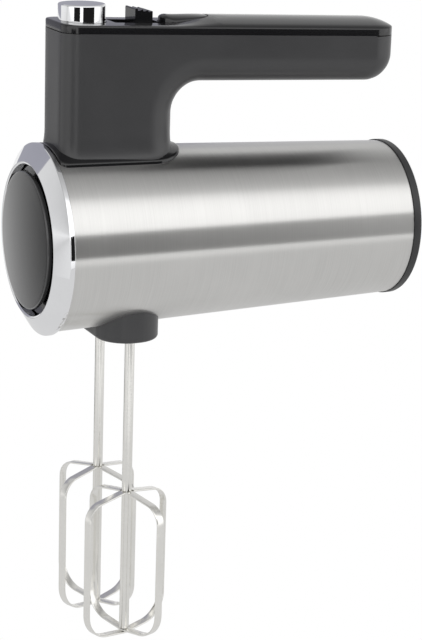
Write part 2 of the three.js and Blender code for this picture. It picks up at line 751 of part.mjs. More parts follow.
const belowSeam = (drop) =>
  solid(
    tilt(
      prismGeometry(
        rectangle(STEM_FRONT_X - 10, CUT, 0, GRIP_HEIGHT - COVER_BAND - drop),
        "XZ",
        -SLEEVE_RADIUS_FRONT,
        SLEEVE_RADIUS_FRONT,
      ),
    ),
  );

function handleShell() {
  const foot = SLEEVE_RADIUS_REAR / 2;
  const outer = stemBody(0, foot, GRIP_HEIGHT).add(gripBody(0, 0));
  const hollow = stemBody(HANDLE_WALL, foot - CUT, GRIP_HEIGHT + CUT).add(
    gripBody(HANDLE_WALL, CUT),
  );
  const shelf = prism(
    rectangle(STEM_FRONT_X + 1, fromFront(SHELF_REAR), -HANDLE_HALF_WIDTH + 1, HANDLE_HALF_WIDTH - 1),
    "XY",
    SHELF_HEIGHT,
    SHELF_HEIGHT + SHELF_THICKNESS,
  ).subtract(rodZ(EJECT_ROD + RUNNING, 0, GRIP_HEIGHT, EJECT_X, 0, SMALL_SEGMENTS));
  const posts = screwSetbacks.map((setback) =>
    rodZ(SCREW_POST, foot, SLEEVE_RADIUS_FRONT + SCREW_LENGTH, fromFront(setback), 0, SMALL_SEGMENTS),
  );
  const drills = screwSetbacks.map((setback) =>
    rodZ(
      SCREW_RADIUS + FIT,
      foot - CUT,
      SLEEVE_RADIUS_FRONT + SCREW_LENGTH - CUT,
      fromFront(setback),
      0,
      SMALL_SEGMENTS,
    ),
  );
  const saddle = cone(SADDLE_THICKNESS + 2 * FIT, fromFront(-2 * CUT), CUT);
  const walls = cut(outer, [hollow]);
  const inside = join([shelf, ...posts]).intersect(stemBody(1, foot, GRIP_HEIGHT));
  return cut(walls.add(inside), [...drills, saddle]).intersect(belowSeam(FIT));
}

const turboPlan = (grow) => {
  const half = TURBO_HALF_WIDTH + grow;
  return rectangle(
    fromFront(TURBO_FRONT) - grow,
    fromFront(TURBO_REAR) + grow,
    -half,
    half,
    half * 0.98,
  );
};

function handleCover() {
  const stations = [
    STEM_FRONT_X - 1,
    ...spaced(fromFront(SLOT_REAR), fromFront(CROWN_FULL), 6),
    CUT,
  ];
  const lid = (inset, drop) => {
    const half = HANDLE_HALF_WIDTH - inset;
    const crown = COVER_CROWN;
    const low = GRIP_HEIGHT - COVER_BAND - drop;
    const side = rounded([
      [STEM_FRONT_X + inset, low],
      [GRIP_END_X - inset, low],
      [GRIP_END_X - inset, GRIP_HEIGHT + crown - inset, COVER_END_ROUND],
      [STEM_FRONT_X + inset, GRIP_HEIGHT + crown - inset],
    ]);
    const along = loftX(stations, (x) => {
      const foot = seamHeight(x) - drop;
      const arc = spaced(half, -half, 8).map((y) => [
        y,
        edgeHeight(x) - inset + crownRise(x) * (1 - (y / half) ** 2),
      ]);
      return [[-half, foot], [half, foot], ...arc];
    });
    const across = solid(tilt(prismGeometry(side, "XZ", -half - CUT, half + CUT)));
    const down = prism(gripPlan(inset), "XY", 0, GRIP_HEIGHT + 3 * crown);
    return along.intersect(across).intersect(down);
  };
  const slot = prism(
    rectangle(
      fromFront(SLOT_FRONT),
      fromFront(SLOT_REAR),
      -KNOB_HALF_WIDTH - KEY_GAP,
      KNOB_HALF_WIDTH + KEY_GAP,
      SLOT_CORNER,
    ),
    "XY",
    0,
    2 * GRIP_HEIGHT,
  );
  const turboHole = prism(turboPlan(KEY_GAP), "XY", 0, 2 * GRIP_HEIGHT);
  const ejectHole = rodZ(EJECT_RADIUS + KEY_GAP, 0, 2 * GRIP_HEIGHT, EJECT_X, 0);
  return cut(lid(0, 0), [lid(COVER_WALL, CUT), slot, turboHole, ejectHole]);
}

// An outline turned the way three.js shapes run.
function orient(points) {
  return THREE.ShapeUtils.area(points) < 0 ? [...points].reverse() : points;
}

function saddleGasket() {
  const front = fromFront(SADDLE_FRONT);
  const rear = fromFront(SADDLE_REAR);
  const plan = rounded([
    [front, -SADDLE_HALF_WIDTH, SADDLE_FRONT_CORNER],
    [rear, -SADDLE_REAR_HALF_WIDTH, SADDLE_REAR_CORNER],
    [rear, SADDLE_REAR_HALF_WIDTH, SADDLE_REAR_CORNER],
    [front, SADDLE_HALF_WIDTH, SADDLE_FRONT_CORNER],
  ]);
  const rim = prism(plan, "XY", 1, SLEEVE_RADIUS_FRONT + 2 * SADDLE_THICKNESS, [
    stemPlan(HANDLE_WALL).reverse(),
  ]);
  const skin = cone(SADDLE_THICKNESS + FIT, front - CUT, rear + CUT).subtract(
    cone(FIT, front - 2 * CUT, rear + 2 * CUT),
  );
  return rim.intersect(skin);
}

// ---- gear case ------------------------------------------------------------------------------------------
const WHEEL_TIP = WHEEL_PITCH_RADIUS + ADDENDUM;
const WORM_TIP = WORM_PITCH_RADIUS + ADDENDUM;
const GEARCASE_FRONT_X = SPINDLE_X - WHEEL_TIP - GEARCASE_WALL;
const GEARCASE_REAR_X = fromFront(FRONT_BEARING_SETBACK) + BEARING_LENGTH / 2;
const CASE_SCREW_REACH = WHEEL_TIP + SCREW_RADIUS + 2; // from a spindle's axis
const CASE_SCREW_BEARING = THREE.MathUtils.degToRad(40);
const caseScrewPlaces = [1, -1].map((side) => ({
  x: SPINDLE_X + CASE_SCREW_REACH * Math.cos(CASE_SCREW_BEARING),
  y: side * (SPINDLE_Y + CASE_SCREW_REACH * Math.sin(CASE_SCREW_BEARING)),
}));

function gearCase(low, high) {
  const half = SPINDLE_Y + WHEEL_TIP + GEARCASE_WALL;
  const block = prism(
    rectangle(GEARCASE_FRONT_X, GEARCASE_REAR_X, -half, half, half / 3),
    "XY",
    low,
    high,
  ).intersect(cone(-SLEEVE_WALL - CHASSIS_MARGIN, GEARCASE_FRONT_X - CUT, GEARCASE_REAR_X + CUT));
  const wheelRooms = [1, -1].map((side) =>
    rodZ(
      WHEEL_TIP + 2 * RUNNING,
      -WHEEL_HALF_FACE - 1,
      WHEEL_HALF_FACE + 1,
      SPINDLE_X,
      side * SPINDLE_Y,
    ),
  );
  const spindleBores = [1, -1].map((side) =>
    rodZ(SPINDLE_RADIUS + RUNNING, low - CUT, high + CUT, SPINDLE_X, side * SPINDLE_Y),
  );
  const wormRoom = rodX(
    WORM_TIP + 2 * RUNNING,
    SPINDLE_X - WORM_LENGTH,
    fromFront(FRONT_BEARING_SETBACK) - BEARING_LENGTH / 2 - FIT,
  );
  const bearingSeat = rodX(BEARING_RADIUS + FIT, wormRoomEnd() - CUT, GEARCASE_REAR_X + CUT);
  const screwHoles = caseScrewPlaces.flatMap(({ x, y }) => [
    rodZ(SCREW_RADIUS + FIT, -SCREW_LENGTH, high + CUT, x, y, SMALL_SEGMENTS),
    rodZ(SCREW_HEAD + FIT, GEARCASE_TOP - SCREW_HEAD_HEIGHT, high + CUT, x, y, SMALL_SEGMENTS),
  ]);
  return cut(block, [...wheelRooms, ...spindleBores, wormRoom, bearingSeat, ...screwHoles]);
}

function wormRoomEnd() {
  return fromFront(FRONT_BEARING_SETBACK) - BEARING_LENGTH / 2 - FIT;
}

// ---- gears ----------------------------------------------------------------------------------------------
// Two-start worm: a section with one lobe for each start, turned steadily along X.
function worm() {
  const turnsPerMm = (2 * Math.PI) / WORM_LEAD;
  const pitchShare = (radius) => {
    const lean = (2 * (WORM_PITCH_RADIUS - radius) * PRESSURE) / (Math.PI * GEAR_MODULE);
    return TOOTH_FILL + lean;
  };
  const root = WORM_PITCH_RADIUS - DEDENDUM;
  const lobe = Math.PI / WORM_STARTS;
  const section = [];
  for (let start = 0; start < WORM_STARTS; start++) {
    const middle = 2 * lobe * start;
    const tipHalf = lobe * pitchShare(WORM_TIP);
    const rootHalf = lobe * pitchShare(root);
    [
      [root, -rootHalf],
      [WORM_TIP, -tipHalf],
      [WORM_TIP, 0],
      [WORM_TIP, tipHalf],
      [root, rootHalf],
      [root, (rootHalf + lobe) / 2 + 0.12],
      [root, 2 * lobe - (rootHalf + lobe) / 2 - 0.12],
    ].forEach(([radius, a]) => section.push([radius, middle + a]));
  }
  const steps = Math.ceil((WORM_LENGTH * turnsPerMm) / (Math.PI / 7));
  const rings = [];
  for (let k = 0; k <= steps; k++) {
    const along = WORM_LENGTH * (k / steps - 0.5);
    rings.push(
      section.map(([radius, a]) => {
        const angle = a + along * turnsPerMm;
        return new THREE.Vector3(radius * Math.cos(angle), radius * Math.sin(angle), along);
      }),
    );
  }
  const upright = loft(rings).subtract(
    rodZ(SHAFT_RADIUS + FIT, -WORM_LENGTH, WORM_LENGTH, 0, 0, SMALL_SEGMENTS),
  );
  const geometry = geometryOf(upright).applyMatrix4(PLANES.YZ).translate(SPINDLE_X, 0, 0);
  return solid(geometry);
}

// A helical wheel whose tooth gaps face the worm, at the wheel's own centre.
function wormWheel(side) {
  const pitch = (2 * Math.PI) / WHEEL_TEETH;
  const phase = (side * -Math.PI) / 2 + pitch / 2;
  const half = (radius) => {
    const lean = ((WHEEL_PITCH_RADIUS - radius) * PRESSURE) / radius;
    return (pitch / 2) * TOOTH_FILL + lean;
  };
  const root = WHEEL_PITCH_RADIUS - DEDENDUM;
  const ring = (z) => {
    const points = [];
    for (let tooth = 0; tooth < WHEEL_TEETH; tooth++) {
      const middle = phase + tooth * pitch + WHEEL_TWIST * z;
      [
        [root, -half(root)],
        [WHEEL_TIP, -half(WHEEL_TIP)],
        [WHEEL_TIP, half(WHEEL_TIP)],
        [root, half(root)],
      ].forEach(([radius, a]) => {
        const angle = middle + a;
        points.push(
          new THREE.Vector3(
            SPINDLE_X + radius * Math.cos(angle),
            side * SPINDLE_Y + radius * Math.sin(angle),
            z,
          ),
        );
      });
    }
    return points;
  };
  return loft([ring(-WHEEL_HALF_FACE), ring(0), ring(WHEEL_HALF_FACE)]).subtract(
    rodZ(
      SPINDLE_RADIUS + FIT,
      -WHEEL_HALF_FACE - CUT,
      WHEEL_HALF_FACE + CUT,
      SPINDLE_X,
      side * SPINDLE_Y,
    ),
  );
}

const spindle = (side) =>
  rodZ(SPINDLE_RADIUS, -BOSS_DROP + SPINDLE_RECESS, SPINDLE_TOP, SPINDLE_X, side * SPINDLE_Y).subtract(
    rodZ(
      SPINDLE_BORE,
      -BOSS_DROP,
      SPINDLE_TOP + CUT,
      SPINDLE_X,
      side * SPINDLE_Y,
      SMALL_SEGMENTS,
    ),
  );

// ---- motor ----------------------------------------------------------------------------------------------
const STACK_X = fromFront(STACK_SETBACK);
const STACK_END_X = STACK_X + STACK_LENGTH;

const armatureShaft = () =>
  rodX(SHAFT_RADIUS, SPINDLE_X - WORM_LENGTH / 2 - 2, fromFront(SHAFT_REAR), SMALL_SEGMENTS);

function armatureCore() {
  const slots = [];
  for (let i = 0; i < CORE_SLOTS; i++) {
    const slot = rectangle(SLOT_FLOOR, CORE_RADIUS + CUT, -SLOT_WIDTH / 2, SLOT_WIDTH / 2).map((p) =>
      p.rotateAround(new THREE.Vector2(), (2 * Math.PI * i) / CORE_SLOTS),
    );
    slots.push(prism(slot, "YZ", STACK_X - CUT, STACK_END_X + CUT));
  }
  return cut(tubeX(CORE_RADIUS, SHAFT_RADIUS + FIT, STACK_X, STACK_END_X, 2 * CORE_SLOTS), slots);
}

function armatureWinding() {
  const inner = SHAFT_RADIUS + 1.5;
  const ends = [
    [STACK_X - END_WINDING_LENGTH, STACK_X - FIT],
    [STACK_END_X + FIT, STACK_END_X + END_WINDING_LENGTH],
  ].map(([x0, x1]) => tubeX(END_WINDING_RADIUS, inner, x0, x1, 2 * CORE_SLOTS));
  const bars = [];
  for (let i = 0; i < CORE_SLOTS; i++) {
    const bar = rectangle(
      SLOT_FLOOR + FIT,
      END_WINDING_RADIUS - 0.4,
      -SLOT_WIDTH / 2 + FIT,
      SLOT_WIDTH / 2 - FIT,
    ).map((p) => p.rotateAround(new THREE.Vector2(), (2 * Math.PI * i) / CORE_SLOTS));
    bars.push(prism(bar, "YZ", STACK_X - 1, STACK_END_X + 1));
  }
  return join([...ends, ...bars]);
}

const commutator = () =>
  tubeX(
    COMMUTATOR_RADIUS,
    SHAFT_RADIUS + FIT,
    fromFront(COMMUTATOR_SETBACK),
    fromFront(COMMUTATOR_SETBACK) + COMMUTATOR_LENGTH,
  );

function coolingFan() {
  const x = fromFront(FAN_SETBACK);
  const disc = tubeX(FAN_RADIUS, SHAFT_RADIUS + FIT, x, x + FAN_DISC);
  const hub = tubeX(SHAFT_RADIUS + 3, SHAFT_RADIUS + FIT, x, x + FAN_BLADE_LENGTH, SMALL_SEGMENTS);
  const blades = [];
  for (let i = 0; i < FAN_BLADES; i++) {
    const blade = rectangle(SHAFT_RADIUS + 8, FAN_RADIUS - 0.5, -0.7, 0.7).map((p) =>
      p.rotateAround(new THREE.Vector2(), (2 * Math.PI * i) / FAN_BLADES),
    );
    blades.push(prism(blade, "YZ", x + FAN_DISC / 2, x + FAN_BLADE_LENGTH));
  }
  return join([disc, hub, ...blades]);
}

function statorStack() {
  const yoke = tubeX(STATOR_RADIUS, STATOR_RADIUS - STATOR_YOKE, STACK_X, STACK_END_X);
  const poles = [1, -1].flatMap((side) => {
    const z0 = STATOR_BORE + POLE_SHOE / 2;
    const z1 = STATOR_RADIUS - STATOR_YOKE / 2;
    const neck = box(
      STACK_X,
      STACK_END_X,
      -POLE_HALF_WIDTH,
      POLE_HALF_WIDTH,
      Math.min(side * z0, side * z1),
      Math.max(side * z0, side * z1),
    );
    const shoe = [];
    const steps = 6;
    for (let k = 0; k <= steps; k++) {
      const a = (side * Math.PI) / 2 + POLE_SHOE_ANGLE * ((2 * k) / steps - 1);
      const r = STATOR_BORE + POLE_SHOE;
      shoe.push(new THREE.Vector2(r * Math.cos(a), r * Math.sin(a)));
    }
    for (let k = steps; k >= 0; k--) {
      const a = (side * Math.PI) / 2 + POLE_SHOE_ANGLE * ((2 * k) / steps - 1);
      shoe.push(new THREE.Vector2(STATOR_BORE * Math.cos(a), STATOR_BORE * Math.sin(a)));
    }
    return [neck, prism(orient(shoe), "YZ", STACK_X, STACK_END_X)];
  });
  return join([yoke, ...poles]);
}

function fieldCoil(side) {
  const low = STATOR_BORE + POLE_SHOE + FIT;
  const inner = POLE_HALF_WIDTH + FIT;
  const outer = inner + COIL_WIDTH;
  const z0 = Math.min(side * low, side * (low + COIL_HEIGHT));
  const hole = rectangle(STACK_X - FIT, STACK_END_X + FIT, -inner, inner, 1);
  return prism(
    rectangle(STACK_X - FIT - COIL_WIDTH, STACK_END_X + FIT + COIL_WIDTH, -outer, outer, 3),
    "XY",
    z0,
    z0 + COIL_HEIGHT,
    [hole.reverse()],
  );
}

const bearing = (setback) => {
  const x = fromFront(setback);
  return tubeX(
    BEARING_RADIUS,
    SHAFT_RADIUS + RUNNING,
    x - BEARING_LENGTH / 2,
    x + BEARING_LENGTH / 2,
  );
};

const BRUSH_X = fromFront(COMMUTATOR_SETBACK) + COMMUTATOR_LENGTH / 2;
const BRUSH_Y = COMMUTATOR_RADIUS + FIT;
const HOLDER_HALF_X = BRUSH_HALF_WIDTH + FIT + HOLDER_WALL;
const HOLDER_HALF_Z = BRUSH_HALF_HEIGHT + FIT + HOLDER_WALL;

const brush = (side) =>
  box(
    BRUSH_X - BRUSH_HALF_WIDTH,
    BRUSH_X + BRUSH_HALF_WIDTH,
    Math.min(side * BRUSH_Y, side * (BRUSH_Y + BRUSH_LENGTH)),
    Math.max(side * BRUSH_Y, side * (BRUSH_Y + BRUSH_LENGTH)),
    -BRUSH_HALF_HEIGHT,
    BRUSH_HALF_HEIGHT,
  );

function brushHolder(side) {
  const y0 = BRUSH_Y + 2;
  const y1 = BRUSH_Y + BRUSH_LENGTH + 2;
  const span = [Math.min(side * y0, side * y1), Math.max(side * y0, side * y1)];
  const block = box(
    BRUSH_X - HOLDER_HALF_X,
    BRUSH_X + HOLDER_HALF_X,
    ...span,
    -HOLDER_HALF_Z,
    HOLDER_HALF_Z,
  );
  const channel = box(
    BRUSH_X - BRUSH_HALF_WIDTH - FIT,
    BRUSH_X + BRUSH_HALF_WIDTH + FIT,
    span[0] - CUT,
    span[1] + CUT,
    -BRUSH_HALF_HEIGHT - FIT,
    BRUSH_HALF_HEIGHT + FIT,
  );
  return block.subtract(channel);
}

function motorBracket() {
  const x = fromFront(REAR_BEARING_SETBACK);
  const back = x + BEARING_LENGTH / 2;
  const half = STATOR_RADIUS - BRACKET_LEG / 2;
  const strap = prism(
    rectangle(-half, half, -BRACKET_HALF_HEIGHT, BRACKET_HALF_HEIGHT, 3),
    "YZ",
    back - BRACKET_THICKNESS,
    back,
  );
  const hub = rodX(BEARING_RADIUS + FIT + 2, x - BEARING_LENGTH / 2, back);
  const legs = [1, -1].map((side) =>
    box(
      STACK_END_X + FIT,
      back - BRACKET_THICKNESS / 2,
      side > 0 ? half - BRACKET_LEG : -half,
      side > 0 ? half : -half + BRACKET_LEG,
      -BRACKET_HALF_HEIGHT,
      BRACKET_HALF_HEIGHT,
    ),
  );
  const posts = capScrewPlaces.map(({ y, z }) =>
    rodX(SCREW_POST - 0.6, back - BRACKET_THICKNESS, -CAP_PLATE - FIT, SMALL_SEGMENTS, y, z),
  );
  const drills = capScrewPlaces.map(({ y, z }) =>
    rodX(SCREW_RADIUS + FIT, -SCREW_LENGTH - CUT, CUT, SMALL_SEGMENTS, y, z),
  );
  const seat = rodX(BEARING_RADIUS + FIT, x - BEARING_LENGTH, back + CUT);
  return cut(join([strap, hub, ...legs, ...posts]), [seat, ...drills]);
}

function motorCradle() {
  const x0 = GEARCASE_REAR_X + FIT;
  const x1 = STACK_END_X + 8;
  const inner = STATOR_RADIUS + FIT;
  const ring = tubeX(inner + CRADLE_WALL, inner, x0, x1, BODY_SEGMENTS);
  const upper = box(x0 - CUT, x1 + CUT, -2 * inner, 2 * inner, -inner / 3, 2 * inner);
  return ring.subtract(upper);
}

// ---- ejector ------------------------------------------------------------------------------------------------
function ejectorFork() {
  const z0 = FORK_BOTTOM;
  const z1 = z0 + FORK_THICKNESS;
  const pads = [1, -1].map((side) => rodZ(FORK_PAD, z0, z1, SPINDLE_X, side * SPINDLE_Y, SMALL_SEGMENTS));
  const yoke = prism(
    orient([
      new THREE.Vector2(EJECT_X - 4, -4),
      new THREE.Vector2(SPINDLE_X, -SPINDLE_Y - 4),
      new THREE.Vector2(SPINDLE_X, -SPINDLE_Y + 4),
      new THREE.Vector2(EJECT_X + 9, 0),
      new THREE.Vector2(SPINDLE_X, SPINDLE_Y - 4),
      new THREE.Vector2(SPINDLE_X, SPINDLE_Y + 4),
      new THREE.Vector2(EJECT_X - 4, 4),
    ]),
    "XY",
    z0,
    z1,
  );
  const rod = rodZ(EJECT_ROD, z0, EJECT_BASE - FIT, EJECT_X, 0, SMALL_SEGMENTS);
  return join([yoke, ...pads, rod]);
}

const EJECT_BASE = crownHeight(EJECT_X, 0) - COVER_WALL - EJECT_SKIRT;

function ejectButton() {
  return turned(
    [
      [EJECT_BASE, 0],
      [EJECT_BASE, EJECT_RADIUS],
      [EJECT_TOP - EJECT_EDGE, EJECT_RADIUS],
      [EJECT_TOP - EJECT_EDGE * 0.3, EJECT_RADIUS - EJECT_EDGE * 0.3],
      [EJECT_TOP, EJECT_RADIUS - EJECT_EDGE],
      [EJECT_TOP, 0],
    ],
    ROUND_SEGMENTS * 1.5,
    "Z",
    EJECT_X,
  );
}

const spring = (radius, turns, low, high, x) =>
  wire(
    new Helix(radius, turns, low + SPRING_WIRE + FIT, high - SPRING_WIRE - FIT, x, 0),
    SPRING_WIRE,
    turns * 8,
    4,
  );

const pusher = (side) =>
  join([
    rodZ(
      PUSHER_RADIUS,
      WHISK_TOP + FIT,
      FORK_BOTTOM - FIT,
      SPINDLE_X,
      side * SPINDLE_Y,
      SMALL_SEGMENTS,
    ),
    rodZ(
      PUSHER_HEAD,
      FORK_BOTTOM - FIT - PUSHER_HEAD_HEIGHT,
      FORK_BOTTOM - FIT,
      SPINDLE_X,
      side * SPINDLE_Y,
      SMALL_SEGMENTS,
    ),
  ]);

// ---- keys and electrics -------------------------------------------------------------------------------------
const SWITCH_TOP = innerCrown(fromFront(SLOT_REAR)) - 4.5;

function speedKnob() {
  const x0 = fromFront(KNOB_FRONT);
  const x1 = fromFront(KNOB_REAR);
  const foot = SWITCH_TOP + 2 * FIT + 2;
  const top = [];
  const length = x1 - x0;
  for (let i = 0; i < KNOB_RIDGES; i++) {
    const a = x0 + (length * (i + 0.55)) / (KNOB_RIDGES + 0.3);
    const z = KNOB_TOP_FRONT + ((KNOB_TOP_REAR - KNOB_TOP_FRONT) * (a - x0)) / length;
    top.unshift([a + 0.9, z - 0.9], [a, z - 0.9], [a - 0.3, z]);
  }
  const side = [
    [x0, foot],
    [x1, foot],
    [x1, KNOB_TOP_REAR, 1],
    ...top,
    [x0, KNOB_TOP_FRONT, 0.8],
  ];
  return prism(rounded(side), "XZ", -KNOB_HALF_WIDTH, KNOB_HALF_WIDTH);
}

function speedSlide() {
  const z0 = SWITCH_TOP + FIT;
  const x0 = fromFront(KNOB_FRONT) - 1;
  const x1 = fromFront(KNOB_REAR) + 1;
  return box(x0, x1, -KNOB_HALF_WIDTH - 1.5, KNOB_HALF_WIDTH + 1.5, z0, z0 + 2);
}

const speedSwitch = () =>
  box(
    fromFront(SLOT_FRONT + SWITCH_INSET),
    fromFront(SLOT_REAR),
    -KNOB_HALF_WIDTH - 2,
    KNOB_HALF_WIDTH + 2,
    SWITCH_TOP - SWITCH_DEPTH,
    SWITCH_TOP,
  );

const TURBO_MIDDLE_X = (fromFront(TURBO_FRONT) + fromFront(TURBO_REAR)) / 2;
const TURBO_BASE = crownHeight(fromFront(TURBO_FRONT), 0) - COVER_WALL - TURBO_SKIRT;

// The turbo key's top stands proud of the cover at its rounded front and meets it at its rear.
function turboTop(x, y) {
  const front = fromFront(TURBO_FRONT);
  const share = (fromFront(TURBO_REAR) - x) / (fromFront(TURBO_REAR) - front);
  const nose = Math.max(1 - (x - front) / TURBO_NOSE, 0) ** 2;
  const across = (TURBO_CROWN + TURBO_DOME * share) * (y / TURBO_HALF_WIDTH) ** 2;
  return crownHeight(x, 0) + TURBO_PROUD * share - TURBO_NOSE_DROP * nose - across;
}

function turboButton() {
  const front = fromFront(TURBO_FRONT);
  const rear = fromFront(TURBO_REAR);
  const half = TURBO_HALF_WIDTH;
  const stations = [...spaced(front, front + TURBO_NOSE, 3), ...spaced(front + TURBO_NOSE, rear, 6).slice(1)];
  const block = loftX(stations, (x) => [
    [-half, TURBO_BASE],
    [half, TURBO_BASE],
    ...spaced(half, -half, 6).map((y) => [y, turboTop(x, y)]),
  ]);
  return block.intersect(prism(turboPlan(0), "XY", 0, 2 * GRIP_HEIGHT));
}

const TURBO_SWITCH_TOP = TURBO_BASE - 2 * TURBO_TRAVEL - 3;

const turboSwitch = () =>
  box(
    TURBO_MIDDLE_X - 10,
    TURBO_MIDDLE_X + 10,
    -4,
    4,
    TURBO_SWITCH_TOP - SWITCH_DEPTH / 1.5,
    TURBO_SWITCH_TOP,
  );

const controlBoard = () =>
  box(
    fromFront(BOARD_FRONT),
    fromFront(BOARD_REAR),
    -BOARD_HALF_WIDTH,
    BOARD_HALF_WIDTH,
    BOARD_HEIGHT,
    BOARD_HEIGHT + BOARD_THICKNESS,
  );

const capacitor = () =>
  box(
    fromFront(BOARD_FRONT) + 6,
    fromFront(BOARD_FRONT) + 24,
    -4.5,
    4.5,
    BOARD_HEIGHT + BOARD_THICKNESS + FIT,
    BOARD_HEIGHT + BOARD_THICKNESS + 10,
  );

// The leads from the switch down through the stem to the brushes.
function leadBundle() {
  const route = new THREE.CatmullRomCurve3([
    new THREE.Vector3(fromFront(SLOT_REAR - LEAD_SETBACK), 6, SWITCH_TOP - SWITCH_DEPTH - FIT - 0.4),
    new THREE.Vector3(fromFront(48), 7, 66),
    new THREE.Vector3(fromFront(47), 8, 48),
    new THREE.Vector3(fromFront(50), 8, 36),
    new THREE.Vector3(fromFront(62), 8, 33),
    new THREE.Vector3(fromFront(90), 6, 33),
    new THREE.Vector3(fromFront(118), 8, 32.5),
    new THREE.Vector3(fromFront(132), 14, 24),
    new THREE.Vector3(BRUSH_X, BRUSH_Y + 8, HOLDER_HALF_Z + 2.4),
  ]);
  return wire(route, 1.5, 24, 6);
}

// ---- whisks --------------------------------------------------------------------------------------------------
// One loop of flat strip, drawn in its own upright plane as an open C that starts and ends at
// the shaft's sides and passes under the shaft's end.
function whiskLoop(layer) {
  const drop = layer * (LOOP_THICKNESS + FIT);
  const floor = WHISK_BOTTOM + drop;
  const top = WHISK_BOTTOM + LOOP_HEIGHT;
  const line = (offset) => {
    const r = LOOP_RADIUS - LOOP_THICKNESS / 2 + offset;
    const corners = [
      [0, floor + LOOP_THICKNESS - offset, 6],
      [r, floor + LOOP_THICKNESS - offset + LOOP_FLOOR_RISE, LOOP_BOTTOM_BEND + offset],
      [r, top - LOOP_THICKNESS + offset - LOOP_ARM_DROP, LOOP_TOP_BEND + offset],
      [WHISK_SHAFT_RADIUS + FIT, top - LOOP_THICKNESS + offset],
    ];
    return corners;
  };
  const mirrored = (corners) => corners.map(([u, v, r]) => [-u, v, r]).slice(1);
  const outer = line(LOOP_THICKNESS);
  const inner = line(0);
  const outline = rounded([
    ...mirrored(outer).reverse(),
    ...outer,
    ...[...inner].reverse(),
    ...mirrored(inner),
  ]);
  return prismGeometry(orient(outline), "XZ", -LOOP_WIDTH / 2, LOOP_WIDTH / 2);
}

const whiskShaft = () =>
  rodZ(
    WHISK_SHAFT_RADIUS,
    WHISK_BOTTOM + 2 * (LOOP_THICKNESS + FIT),
    WHISK_TOP,
    0,
    0,
    SMALL_SEGMENTS,
  );

function placeWhisk(sideName, side, phase) {
  const whisk = new THREE.Group();
  whisk.position.set(SPINDLE_X, side * SPINDLE_Y, 0);
  whisk.rotation.z = THREE.MathUtils.degToRad(phase);
  mixer.add(whisk);
  place(`whisk_shaft_${sideName}`, whiskShaft(), BEATER_STEEL, whisk);
  ["lower", "upper"].forEach((layerName, layer) => {
    const loop = whiskLoop(layer);
    if (layer) loop.rotateZ(Math.PI / 2);
    place(`whisk_loop_${layerName}_${sideName}`, solid(loop), BEATER_STEEL, whisk);
  });
}

// ---- screws ---------------------------------------------------------------------------------------------------
const screwUp = (x, y, seat, length) =>
  join([
    rodZ(SCREW_RADIUS, seat - 0.5, seat + length, x, y, SMALL_SEGMENTS),
    rodZ(SCREW_HEAD, seat - SCREW_HEAD_HEIGHT, seat, x, y, SMALL_SEGMENTS),
  ]);
const screwDown = (x, y, seat, length) =>
  join([
    rodZ(SCREW_RADIUS, seat - length, seat + 0.5, x, y, SMALL_SEGMENTS),
    rodZ(SCREW_HEAD, seat, seat + SCREW_HEAD_HEIGHT - FIT, x, y, SMALL_SEGMENTS),
  ]);
const screwForward = (y, z) =>
  join([
    rodX(SCREW_RADIUS, -SCREW_LENGTH, -SCREW_HEAD_HEIGHT / 2, SMALL_SEGMENTS, y, z),
    rodX(SCREW_HEAD, -SCREW_HEAD_HEIGHT + FIT, -FIT, SMALL_SEGMENTS, y, z),
  ]);

// ---- assembly ---------------------------------------------------------------------------------------------------
const SIDES = [
  ["right", 1, WHISK_PHASE_FAR],
  ["left", -1, WHISK_PHASE_NEAR],
];

place("body_sleeve", bodySleeve(), STEEL);
place("front_bezel", frontBezel(), CHROME);
place("front_carrier", frontCarrier(), GLOSS_BLACK);
place("front_disc", frontDisc(), SMOKED_DISC);
place("rear_ring", rearRing(), DARK_PLASTIC);
place("rear_cap", rearCap(), DARK_PLASTIC);
place("cord_gland", cordGland(), RUBBER);
place("socket_boss", socketBoss(), HANDLE_PLASTIC);
place("handle_shell", handleShell(), HANDLE_PLASTIC);
place("handle_cover", handleCover(), GLOSS_BLACK);
place("saddle_gasket", saddleGasket(), GLOSS_BLACK);

place("gear_case_base", gearCase(GEARCASE_BOTTOM, 0), INNER_PLASTIC);
place("gear_case_lid", gearCase(FIT, GEARCASE_TOP), INNER_PLASTIC);
place("motor_cradle", motorCradle(), INNER_PLASTIC);
place("stator_stack", statorStack(), IRON);
place("motor_bracket", motorBracket(), INNER_PLASTIC);
place("front_bearing", bearing(FRONT_BEARING_SETBACK), BRONZE);
place("rear_bearing", bearing(REAR_BEARING_SETBACK), BRONZE);

place("armature_shaft", armatureShaft(), ZINC);
place("armature_core", armatureCore(), IRON);
place("armature_winding", armatureWinding(), COPPER);
place("commutator", commutator(), COPPER);
place("cooling_fan", coolingFan(), WHITE_NYLON);
place("worm", worm(), ZINC);

place("ejector_fork", ejectorFork(), WHITE_NYLON);
place("eject_button", ejectButton(), CHROME);
place(
  "eject_spring",
  spring(
    EJECT_SPRING_RADIUS,
    EJECT_SPRING_TURNS,
    SHELF_HEIGHT + SHELF_THICKNESS,
    EJECT_BASE,
    EJECT_X,
  ),
  ZINC,
);
place("speed_knob", speedKnob(), GLOSS_BLACK);
place("speed_slide", speedSlide(), INNER_PLASTIC);
place("speed_switch", speedSwitch(), DARK_PLASTIC);
place("turbo_button", turboButton(), GLOSS_BLACK);
place(
  "turbo_spring",
  spring(TURBO_SPRING_RADIUS, TURBO_SPRING_TURNS, TURBO_SWITCH_TOP, TURBO_BASE, TURBO_MIDDLE_X),
  ZINC,
);
place("turbo_switch", turboSwitch(), DARK_PLASTIC);
place("control_board", controlBoard(), BOARD_GREEN);
place("capacitor", capacitor(), WHITE_NYLON);
place("lead_bundle", leadBundle(), RUBBER);

